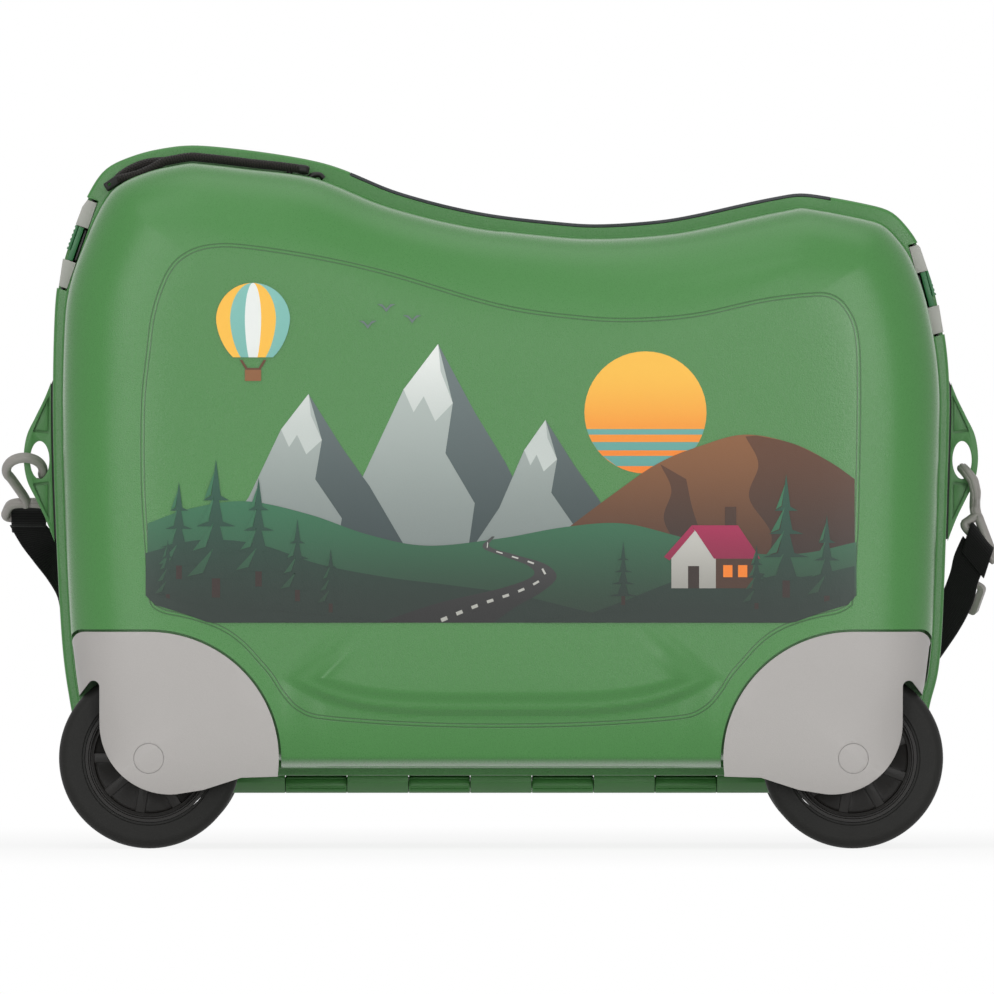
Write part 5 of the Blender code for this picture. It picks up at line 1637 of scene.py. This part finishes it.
@dataclass
class Strap:
    """The shoulder strap on its route behind the case, its folds round the hooks, and its slide."""

    width: float = 0.0200
    thickness: float = 0.0018

    def route(self) -> list[tuple[Vector, Vector]]:
        """Knots of the strap's middle line and the way that its width points at each."""
        knots = ((-1, -15.0, 36.6, -37.0, (1, 0, 0)), (-1, -9.8, 38.6, -44.6, (1, 0, 0.2)),
                 (-1, -4.0, 42.0, -52.0, (0.8, 0.35, 0.45)), (-1, -0.6, 48.0, -58.5, (0.4, 0.5, 0.7)),
                 (-1, 2.3, 57.0, -67.0, (0.1, 0.3, 0.9)), (-1, 3.5, 69.0, -79.0, (0, 0.2, 1)),
                 (-1, 5.8, 85.0, -93.8, (0, 0.1, 1)), (-1, 14.8, 102.0, -102.8, (0, 0, 1)),
                 (-1, 33.8, 112.0, -113.8, (0, 0, 1)), (-0.738, 0.0, 117.5, -127.8, (0, 0, 1)),
                 (-0.533, 0.0, 120.0, -144.8, (0, 0, 1)), (-0.246, 0.0, 121.5, -157.8, (0, 0, 1)),
                 (0.062, 0.0, 122.0, -161.8, (0, 0, 1)), (0.369, 0.0, 121.5, -158.8, (0, 0, 1)),
                 (0.615, 0.0, 119.5, -148.8, (0, 0, 1)), (0.8, 0.0, 116.0, -136.8, (0, 0, 1)),
                 (1, -23.8, 106.0, -126.8, (0, 0, 1)), (1, -13.5, 90.0, -122.0, (0, 0, 1)),
                 (1, -9.9, 75.0, -116.4, (0, -0.1, 1)), (1, -9.2, 61.0, -110.4, (-0.05, -0.2, 1)),
                 (1, -7.2, 48.0, -103.9, (-0.15, -0.3, 0.94)), (1, -3.4, 36.0, -95.7, (-0.35, -0.3, 0.88)),
                 (1, 1.1, 25.5, -86.4, (-0.52, -0.15, 0.82)), (1, 5.1, 17.0, -77.7, (-0.6, 0, 0.8)),
                 (1, 8.1, 10.5, -69.5, (-0.64, 0, 0.77)), (1, 9.8, 6.5, -61.3, (-0.64, 0, 0.77)),
                 (1, 13.0, 4.6, -53.5, (-0.64, 0, 0.77)), (1, 14.6, 4.6, -50.4, (-0.64, 0, 0.77)))
        half = FORM.length / 2
        middle = FORM.lug_place(End.NOSE).z
        return [(Vector((share * half + past * MM, deep * MM, middle + above * MM)),
                 Vector(way).normalized()) for share, past, deep, above, way in knots]

    def line(self, count: int) -> tuple[list[Vector], list[Vector]]:
        """Even points along the strap and the way of its width at each."""
        knots = [Vector((*place, *(way * 0.05))) for place, way in self.route()]
        spots = smooth_line(knots, count)
        return [Vector(spot[:3]) for spot in spots], [Vector(spot[3:]).normalized() for spot in spots]

    def section(self, width: float, thickness: float) -> list[Point2]:
        """A flat section with rounded, slightly thicker selvedges."""
        half, low = width / 2, thickness / 2
        across = [-0.94 + 1.88 * i / 12 for i in range(13)]
        top = [(a * half, low * (1.0 if abs(a) > 0.86 else 0.86)) for a in across]
        side = [(half, low * 0.5), (half, -low * 0.5)]
        bottom = [(a * half, -low * (1.0 if abs(a) > 0.86 else 0.86)) for a in reversed(across)]
        return top + side + bottom + [(-half, -low * 0.5), (-half, low * 0.5)]

    def build(self, shop: Workshop, hooks: Sequence[Hook]) -> None:
        """Args:
            shop: the workshop.
            hooks: the two hooks that it hangs from.
        """
        spots, ways = self.line(320)
        strap = as_object("strap", sweep(spots, self.section(self.width, self.thickness), ways, sheared=True))
        shop.dress(shaded(strap, 50.0), "black webbing", "base", "webbing", "shoulder_strap")
        folds = [self.fold(hook, shop) for hook in hooks]
        slide = self.slide(spots, ways, shop)

    def fold(self, hook: Hook, shop: Workshop) -> Thing:
        """The end of the strap, folded round a hook's bar.

        Args:
            hook: the hook.
            shop: the workshop.

        Returns:
            The fold.
        """
        place = hook.bar_place()
        reach = max(hook.through, hook.thickness) / 2 + 0.0009 + self.thickness / 2
        path = [(0.0017, 0.0125), (reach * 0.62, 0.0080)] + arc((0, 0), reach, 12.0, -192.0, 22)
        path += [(-reach * 0.62, 0.0080), (-0.0017, 0.0125)]
        points = [place @ Vector((0, p.y, p.x)) for p in smooth_line(path, 40)]
        across = [place.col[0].xyz] * len(points)
        band = sweep(points, self.section(self.width * 0.94, self.thickness * 0.8), across, sheared=True)
        fold = as_object(f"strap_fold_{hook.end.label}", band)
        return shop.dress(shaded(fold, 50.0), "black webbing", f"hook_{hook.end.label}", "webbing")

    def slide(self, spots: Sequence[Vector], ways: Sequence[Vector], shop: Workshop) -> Thing:
        """The slide behind the strap near its tail hook: a frame with a middle bar.

        Args:
            spots: the strap's middle line.
            ways: the way of its width at each spot.
            shop: the workshop.

        Returns:
            The slide.
        """
        last = len(spots) - 1
        at = min(range(last), key=lambda i: abs((spots[last] - spots[i]).length - 0.0270))
        along = (spots[at] - spots[at + 2]).normalized()
        across = (-ways[at] - along * (-ways[at]).dot(along)).normalized()
        out = along.cross(across)
        out = out if out.y > 0 else -out
        place = Matrix((across, along, out)).transposed().to_4x4()
        place.translation = spots[at] + out * (self.thickness / 2 + 0.0017)
        low, high = -0.0092, 0.0124
        outer = rounded([(low, -0.0100), (high, -0.0100), (high, 0.0100), (low, 0.0100)], 0.0034)
        frame_body = loft([[Vector((x, y, z)) for x, y in outer] for z in (-0.0015, 0.0015)])
        slide = as_object("strap_slide", frame_body)
        for near, far in ((-0.0072, -0.0015), (0.0015, 0.0072)):
            window = rounded([(low + 0.0032, near), (high - 0.0038, near), (high - 0.0038, far),
                              (low + 0.0032, far)], 0.0010)
            carve(slide, [loft([[Vector((x, y, z)) for x, y in window]
                                                    for z in (-0.004, 0.004)])])
        shaded(softened(slide, 0.0007, 3, 40.0))
        slide.data.transform(place)
        return shop.dress(slide, "hook grey", "base", "hook_grey", "strap_adjuster")


@dataclass
class PackingRibbons:
    """The crossed elastic ribbons inside the base, with the moulded buckle that joins them."""

    width: float = 0.0250
    thickness: float = 0.0012
    depth: float = 0.0140
    tilt: float = 16.0

    def build(self, shop: Workshop) -> None:
        """Sweep both ribbons from wall to wall and round the buckle's edges."""
        middle = (FORM.bottom + FORM.seat) / 2
        bodies = []
        for way in (-1, 1):
            turn = math.radians(way * self.tilt)
            along = Vector((math.cos(turn), 0, -math.sin(turn)))
            across = Vector((math.sin(turn), 0, math.cos(turn)))
            base = Vector((0, self.depth + self.thickness / 2 + way * 0.00001, middle))
            half = self.width / 2
            section = [(-half, -0.5), (-half * 0.92, -0.6), (half * 0.92, -0.6), (half, -0.5), (half, 0.5),
                       (half * 0.92, 0.6), (-half * 0.92, 0.6), (-half, 0.5)]
            flat = [(a, b * self.thickness * 0.83) for a, b in section]
            spots = [base + along * (0.30 * (i / 60 - 0.5) * 2) for i in range(61)]
            bodies.append(sweep(spots, flat, [across] * 61))
        ribbons = as_object("ribbons", joined(bodies[:1]))
        carve(ribbons, [bodies[1]], "UNION")
        room = loft(FORM.bulge_rings(Side.BASE, FORM.wall + 0.0003, 0.0, count=240))
        carve(ribbons, [room], "INTERSECT")
        shop.dress(shaded(ribbons, 40.0), "black webbing", "base", "webbing", "packing_ribbons")
        buckle = refined("ribbon_buckle", "buckle", 0.0016, 4)
        shop.dress(buckle, "black plastic", "base", "black_plastic", "ribbon_buckle")


class Tone(Enum):
    """The printed colours."""

    FIRE = Ink("ink fire", (0.90, 0.22, 0.015), 0.34, high=(0.95, 0.52, 0.06), start=0.205, end=0.262)
    PEAK = Ink("ink peak", (0.20, 0.235, 0.225), 0.34, high=(0.46, 0.52, 0.49), start=0.15, end=0.27)
    SHADE = Ink("ink shade", (0.030, 0.050, 0.052), 0.34, high=(0.13, 0.17, 0.17), start=0.15, end=0.27)
    SNOW = Ink("ink snow", (0.55, 0.60, 0.57), 0.34, high=(0.82, 0.85, 0.82), start=0.22, end=0.28)
    EARTH = Ink("ink earth", (0.055, 0.020, 0.008), 0.36, high=(0.250, 0.098, 0.030), start=0.15, end=0.235)
    UMBER = Ink("ink umber", (0.022, 0.010, 0.006), 0.36, high=(0.110, 0.038, 0.012), start=0.15, end=0.235)
    PINE = Ink("ink pine", (0.006, 0.018, 0.012), 0.36, high=(0.012, 0.095, 0.055), start=0.122, end=0.230)
    LEAF = Ink("ink leaf", (0.010, 0.030, 0.016), 0.36, high=(0.030, 0.160, 0.075), start=0.122, end=0.200)
    ROAD = Ink("ink road", (0.010, 0.010, 0.010), 0.40, high=(0.075, 0.078, 0.076), start=0.122, end=0.195)
    LINE = Ink("ink line", (0.42, 0.42, 0.38), 0.36, high=(0.66, 0.66, 0.62), start=0.122, end=0.19)
    TEAL = Ink("ink teal", (0.060, 0.270, 0.230), 0.34, high=(0.220, 0.520, 0.460), start=0.140, end=0.320)
    WINE = Ink("ink wine", (0.230, 0.004, 0.045), 0.34, high=(0.420, 0.012, 0.085), start=0.150, end=0.190)
    WALL = Ink("ink wall", (0.300, 0.290, 0.260), 0.36, high=(0.560, 0.550, 0.510), start=0.130, end=0.180)


@dataclass(frozen=True)
class Motif:
    """One flat shape of the print, in millimetres across and above the floor."""

    tone: Tone
    shape: tuple[Point2, ...]
    layer: int


@dataclass
class Landscape:
    """The landscape printed on the upper part of the film: hills, peaks, sun, road, trees and a hut."""

    side: Side
    floor: float = 122.4
    cell: float = 0.0050
    lift: float = 0.00005
    layer: int = 1
    motifs: list[Motif] = field(default_factory=list)

    def add(self, tone: Tone, *shape: Point2, over: int = 0) -> None:
        """Add a shape, some layers over the present one."""
        self.motifs.append(Motif(tone, shape, self.layer + over))

    def curve(self, *knots: Point2) -> list[Point2]:
        """A smooth open line through knots."""
        return [(p.x, p.y) for p in smooth_line(knots, 10 * len(knots))]

    def disc(self, tone: Tone, x: float, z: float, radius: float) -> None:
        """Add a round shape."""
        self.add(tone, *[(x + radius * math.cos(a), z + radius * math.sin(a))
                         for a in (math.tau * i / 48 for i in range(48))])

    def block(self, tone: Tone, low: Point2, high: Point2, over: int = 0) -> None:
        """Add an upright rectangle between two corners."""
        self.add(tone, low, (low[0], high[1]), high, (high[0], low[1]), over=over)

    def ground(self, x: float) -> float:
        """Height of the print's lower edge, which follows the film's corners."""
        marks = ((0, self.floor), (158, self.floor), (168, 126.2), (178, 129.4), (187, 132.0), (192, 137.0))
        for (x0, z0), (x1, z1) in zip(marks, marks[1:]):
            if abs(x) <= x1:
                return z0 + (z1 - z0) * (abs(x) - x0) / (x1 - x0)
        return marks[-1][1]

    def hill(self, tone: Tone, *knots: Point2) -> None:
        """Add a hill under a smooth crest, down to the print's lower edge."""
        crest = self.curve(*knots)
        first, last = crest[0][0], crest[-1][0]
        foot = [last + (first - last) * i / 40 for i in range(41)]
        self.add(tone, *crest, *[(x, self.ground(x)) for x in foot])

    def tree(self, x: float, foot: float, height: float) -> None:
        """Add a pine of four tiers on its trunk."""
        wide = height * 0.24
        self.block(Tone.UMBER, (x - height * 0.03, foot), (x + height * 0.03, foot + height * 0.3))
        for tier in range(4):
            low = foot + height * (0.14 + 0.19 * tier)
            half = wide * (1 - 0.2 * tier)
            top = (x, low + height * 0.30)
            self.add(Tone.PINE, (x - half, low), (x - half * 0.35, low + height * 0.035), top,
                     (x + half * 0.35, low + height * 0.035), (x + half, low), over=1 + tier)
            self.add(Tone.LEAF, (x - half * 0.88, low + height * 0.012),
                     (x - half * 0.40, low + height * 0.04), (x - half * 0.08, low + height * 0.22),
                     over=2 + tier)

    def peak(self, x: float, top: float, left: float, right: float, base: float) -> None:
        """Add a peak with its shaded side and a ragged cap of snow."""
        drop = top - base

        def at(reach: float, rise: float) -> Point2:
            """A point at a reach from the top's place and a share of the height."""
            return x + reach, base + drop * rise

        ridge = [at(right * 0.30, 0.70), at(right * 0.55, 0.48), at(right, 0.0)]
        self.add(Tone.PEAK, at(-left, 0.0), at(-left * 0.52, 0.42), at(-left * 0.24, 0.80), (x, top), *ridge)
        self.add(Tone.SHADE, (x, top), *ridge, at(right * 0.22, 0.0), at(right * 0.30, 0.30),
                 at(right * 0.06, 0.52), at(right * 0.12, 0.74), over=1)
        self.add(Tone.SNOW, (x, top), at(-left * 0.24, 0.80), at(-left * 0.17, 0.70), at(-left * 0.10, 0.77),
                 at(-left * 0.02, 0.66), at(right * 0.12, 0.74), at(right * 0.02, 0.88), over=1)

    def draw(self) -> None:
        """Lay out the print from back to front."""
        self.disc(Tone.FIRE, 78.0, 236.0, 33.0)
        self.layer = 2
        for low, high in ((-12.0, -9.0), (-20.5, -16.0), (-29.0, -23.5)):
            self.band_of_sun(78.0, 236.0, 33.0, low, high)
        for x, top, left, right in ((-34.0, 273.0, 78.0, 66.0), (-104.0, 246.0, 62.0, 60.0),
                                    (24.0, 232.0, 48.0, 52.0)):
            self.peak(x, top, left, right, 150.0)
            self.layer += 2
        self.layer = 8
        self.hill(Tone.EARTH, (34, 172), (58, 190), (84, 208), (108, 218), (132, 224), (158, 219),
                  (178, 209), (191, 200))
        self.layer = 9
        self.add(Tone.UMBER, *self.curve((142, 150), (146, 170), (134, 190), (139, 208), (132, 223)),
                 *self.curve((138, 223.5), (158, 219), (178, 209), (191, 200)), (191, 150))
        self.add(Tone.UMBER, *self.curve((98, 160), (88, 178), (92, 194), (86, 208)),
                 *self.curve((100, 200), (104, 182), (112, 160)))
        self.layer = 10
        self.hill(Tone.LEAF, (-191, 176), (-168, 184), (-138, 188), (-104, 181), (-72, 170), (-40, 164),
                  (0, 168), (34, 174), (66, 176), (100, 168), (136, 160), (164, 160), (192, 166))
        self.layer = 11
        self.hill(Tone.PINE, (-192, 160), (-164, 167), (-132, 165), (-98, 154), (-62, 147), (-30, 143),
                  (6, 138), (40, 130), (70, 123))
        self.layer = 12
        self.hill(Tone.PINE, (36, 123), (66, 134), (98, 146), (130, 150), (160, 147), (191, 153))
        left = self.curve((-66, 122.4), (-34, 133), (0, 141), (17, 147.5), (15, 153), (2, 158),
                          (-10, 163), (-5, 169))
        right = self.curve((-3.5, 169), (-6, 163.5), (8, 159), (24, 154), (30, 147), (22, 139),
                           (8, 131), (-4, 122.4))
        self.layer = 13
        self.add(Tone.ROAD, *left, *right)
        self.layer = 14
        self.dashes(((-34, 123.0), (-12, 132), (11, 140), (23.5, 147.5), (19.5, 153.5), (5, 158.5),
                     (-8, 163.3), (-4.5, 168)))
        self.hut(112.0, 141.0)
        self.layer = 15
        for x, foot, height in ((-174, 146, 52), (-154, 136, 74), (-131, 142, 58), (-110, 134, 44),
                                (-180, 133, 34), (-92, 128, 34), (66, 132, 34), (154, 136, 66),
                                (176, 130, 50), (138, 128, 36)):
            self.tree(x, foot, height)
        self.balloon(-134.0, 286.0, 20.0)
        for x, z in ((-62, 292), (-48, 286), (-72, 283)):
            self.add(Tone.SHADE, (x - 5, z + 2.6), (x - 2.2, z + 2.4), (x, z), (x + 2.2, z + 2.4),
                     (x + 5, z + 2.6), (x + 2.0, z + 0.9), (x, z - 1.8), (x - 2.0, z + 0.9))
        self.layer = 20
        self.hill(Tone.PINE, (-190, 139), (-170, 133), (-140, 130), (-104, 127), (-66, 123))
        self.hill(Tone.PINE, (14, 123), (52, 127), (98, 129.5), (150, 130), (172, 133), (190, 139))

    def band_of_sun(self, x: float, z: float, radius: float, low: float, high: float) -> None:
        """Add a haze bar across the sun between two heights from its middle."""
        ends = [math.sqrt(radius ** 2 - level ** 2) for level in (low, high)]
        self.add(Tone.TEAL, (x - ends[0], z + low), (x - ends[1], z + high), (x + ends[1], z + high),
                 (x + ends[0], z + low))

    def dashes(self, knots: Sequence[Point2]) -> None:
        """Add the pale dashes along the middle of the road."""
        line = smooth_line(knots, 61)
        for i in range(1, 58, 5):
            wide = 2.1 * (1 - i / 72)
            first, last = line[i], line[min(i + 2, 60)]
            along = (last - first).normalized()
            across = Vector((-along.y, along.x)) * wide * 0.5
            corners = (first - across, first + across, last + across, last - across)
            self.add(Tone.LINE, *[(p.x, p.y) for p in corners])

    def hut(self, x: float, z: float) -> None:
        """Add the hut: walls, gable roof, chimney, door and lit windows."""
        self.block(Tone.UMBER, (x + 9, z + 26), (x + 15, z + 44))
        self.add(Tone.WALL, (x - 20, z), (x - 20, z + 18), (x - 8, z + 32), (x + 4, z + 18), (x + 4, z),
                 over=1)
        self.block(Tone.EARTH, (x + 4, z), (x + 24, z + 18), over=1)
        self.add(Tone.WINE, (x - 9, z + 34), (x + 16, z + 34), (x + 28, z + 16), (x + 3, z + 16), over=2)
        self.add(Tone.WINE, (x - 9, z + 34), (x - 7.4, z + 31), (x - 21, z + 15), (x - 24, z + 17), over=2)
        self.block(Tone.UMBER, (x - 11, z), (x - 5, z + 12), over=2)
        for left in (x + 8, x + 16):
            self.block(Tone.FIRE, (left, z + 6), (left + 5, z + 12.5), over=2)

    def balloon(self, x: float, z: float, radius: float) -> None:
        """Add the balloon in upright gores over its basket."""
        edges = [-1.0, -0.62, -0.22, 0.22, 0.62, 1.0]
        tones = (Tone.FIRE, Tone.TEAL, Tone.SNOW, Tone.FIRE, Tone.TEAL)
        for tone, start, stop in zip(tones, edges, edges[1:]):
            outline = []
            for share, way in ((start, 1), (stop, -1)):
                side = [(math.sin(a) * share * radius, math.cos(a) * radius) for a in
                        (math.pi * 0.80 * i / 20 for i in range(21))]
                side = [(a, b) if b > 0 else (a * (1 + 0.10 * b / radius), b * 1.25) for a, b in side]
                outline += side if way > 0 else side[::-1]
            self.add(tone, *[(x + a, z + b) for a, b in outline[:-1]])
        self.add(Tone.UMBER, (x - 7.2, z - 21.6), (x - 4.0, z - 27), (x + 4.0, z - 27), (x + 7.2, z - 21.6),
                 (x + 5.8, z - 21.6), (x + 3.0, z - 26), (x - 3.0, z - 26), (x - 5.8, z - 21.6))
        self.block(Tone.EARTH, (x - 4.4, z - 33), (x + 4.4, z - 27))

    def build(self, shop: Workshop, shell: Thing) -> None:
        """Lay every motif on the face of the shell.

        Args:
            shop: the workshop.
            shell: the finished shell.
        """
        self.draw()
        s = self.side.value
        tree = BVHTree.FromObject(shell, bpy.context.evaluated_depsgraph_get())
        inks = [tone.value.material(shop.effects) for tone in Tone]
        numbers = {tone: i for i, tone in enumerate(Tone)}
        bm = bmesh.new()
        for motif in self.motifs:
            shape = bmesh.new()
            verts = [shape.verts.new((-s * x * MM, 0, z * MM)) for x, z in motif.shape]
            sides = [shape.edges.new((verts[i - 1], verts[i])) for i in range(len(verts))]
            bmesh.ops.contextual_create(shape, geom=sides)
            bmesh.ops.triangulate(shape, faces=shape.faces)
            for axis in (0, 2):
                places = [v.co[axis] for v in shape.verts]
                line = math.ceil(min(places) / self.cell) * self.cell
                while line < max(places):
                    point, normal = Vector(), Vector()
                    point[axis], normal[axis] = line, 1.0
                    bmesh.ops.bisect_plane(shape, geom=shape.verts[:] + shape.edges[:] + shape.faces[:],
                                           plane_co=point, plane_no=normal, dist=1e-7)
                    line += self.cell
            for vert in shape.verts:
                start = Vector((vert.co.x, s * 0.2, vert.co.z))
                spot = tree.ray_cast(start, Vector((0, -s, 0)))[0]
                vert.co.y = spot.y + s * (self.lift + self.lift * motif.layer)
            for face in shape.faces:
                face.material_index = numbers[motif.tone]
                if face.normal.y * s < 0:
                    face.normal_flip()
            mesh = bpy.data.meshes.new("motif")
            shape.to_mesh(mesh)
            shape.free()
            bm.from_mesh(mesh)
            bpy.data.meshes.remove(mesh)
        thing = as_object(f"face_print_{self.side.label}", bm)
        thing.data.shade_smooth()
        for ink in inks:
            thing.data.materials.append(ink)
        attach(thing, self.side.label)
        LOG.info("%s: %d faces in %d inks", thing.name, len(thing.data.polygons), len(inks))


# The studio


@dataclass
class Studio:
    """A white floor and world, soft lamps, and a distant camera square to the lid."""

    distance: float = 11.0
    frame_width: float = 0.5421
    middle: tuple[float, float] = (-0.0022, 0.1903)

    def camera(self) -> None:
        """Set the camera square to the lid."""
        data = bpy.data.cameras.new("front")
        data.sensor_width = 36.0
        data.lens = 36.0 * self.distance / self.frame_width
        data.clip_end = 60.0
        thing = bpy.data.objects.new("front", data)
        thing.location = (self.middle[0], -self.distance, self.middle[1])
        thing.rotation_euler = (math.pi / 2, 0, 0)
        bpy.context.collection.objects.link(thing)
        bpy.context.scene.camera = thing

    def lamp(self, name: str, place: Sequence[float], aim: Sequence[float], size: Point2,
             power: float) -> None:
        """Add a soft lamp of a width and height."""
        data = bpy.data.lights.new(name, "AREA")
        data.shape = "RECTANGLE"
        data.size, data.size_y = size
        data.energy = power
        thing = bpy.data.objects.new(name, data)
        thing.location = place
        thing.rotation_euler = (Vector(aim) - Vector(place)).to_track_quat("-Z", "Y").to_euler()
        bpy.context.collection.objects.link(thing)

    def world(self) -> None:
        """White where it is seen or mirrored, and a dimmer light for everything else."""
        world = bpy.data.worlds.new("studio")
        bpy.context.scene.world = world
        world.use_nodes = True
        graph = Graph(world.node_tree)
        path = graph.node("ShaderNodeLightPath")
        seen = graph.math("MAXIMUM", path.outputs["Is Camera Ray"], path.outputs["Is Glossy Ray"])
        seen = graph.math("MAXIMUM", seen, path.outputs["Is Transmission Ray"])
        back = world.node_tree.nodes["Background"]
        graph.link(graph.math("MULTIPLY_ADD", seen, 0.55, 0.45), back.inputs["Strength"])
        back.inputs["Color"].default_value = (1.0, 1.0, 1.0, 1.0)

    def floor(self) -> None:
        """A white floor that keeps the shadow."""
        bm = bmesh.new()
        bmesh.ops.create_grid(bm, x_segments=2, y_segments=2, size=4.0)
        thing = as_object("floor", bm)
        material, graph, shader = new_material("studio floor")
        shader.inputs["Base Color"].default_value = (0.92, 0.92, 0.92, 1.0)
        shader.inputs["Roughness"].default_value = 0.9
        path = graph.node("ShaderNodeLightPath")
        glow = graph.node("ShaderNodeEmission", {"Color": (1.0, 1.0, 1.0, 1.0), "Strength": 1.0})
        place = graph.place()
        reach = graph.node("ShaderNodeVectorMath", {0: place}, operation="LENGTH").outputs["Value"]
        fade = graph.math("MULTIPLY_ADD", graph.ramp(reach, 0.25, 0.75), 0.14, 0.86)
        seen = graph.math("MAXIMUM", path.outputs["Is Camera Ray"], path.outputs["Is Glossy Ray"])
        share = graph.math("MULTIPLY", seen, fade)
        mix = graph.node("ShaderNodeMixShader", {0: share, 1: shader.outputs[0], 2: glow.outputs[0]})
        graph.link(mix.outputs[0], graph.tree.nodes["Material Output"].inputs["Surface"])
        thing.data.materials.append(material)

    def build(self) -> None:
        """Set up the studio."""
        bpy.context.scene.view_settings.view_transform = "Standard"
        self.camera()
        self.world()
        self.floor()
        self.lamp("key", (-0.9, -2.2, 2.4), (0, 0, 0.2), (1.8, 1.8), 12.0)
        self.lamp("fill", (0.4, -2.9, 0.3), (0, 0, 0.15), (1.2, 0.8), 4.0)
        self.lamp("top", (0.1, -0.3, 2.4), (0, 0, 0.2), (1.6, 1.6), 9.0)
        self.lamp("side left", (-0.90, -2.5, 0.20), (-0.2, 0, 0.15), (0.50, 1.7), 16.0)
        self.lamp("side right", (0.86, -2.5, 0.20), (0.2, 0, 0.15), (0.46, 1.7), 16.0)


def main() -> None:
    """Build the studio, then every sub-assembly of the case."""
    logging.basicConfig(level=logging.INFO, format="%(name)s %(message)s")
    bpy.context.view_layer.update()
    Studio().build()
    shop = Workshop()
    hooks = [Hook(end, Lug(end)) for end in End]
    for hook in hooks:
        hook.lug.build(shop)
        hook.build(shop)
    Strap().build(shop, hooks)
    for side in Side:
        half = Shell(side)
        shell = half.shell(shop)
        half.knuckles(shop)
        SeatStrip(side).build(shop)
        RopeGrip(side).build(shop)
        Landscape(side).build(shop, shell)
        for end in End:
            WheelSet(side, end).build(shop)
    shop.coat_node("zinc plate", "hinge_pin")
    for end in End:
        Latch(end).build(shop)
    PackingRibbons().build(shop)


if __name__ == "__main__":
    main()
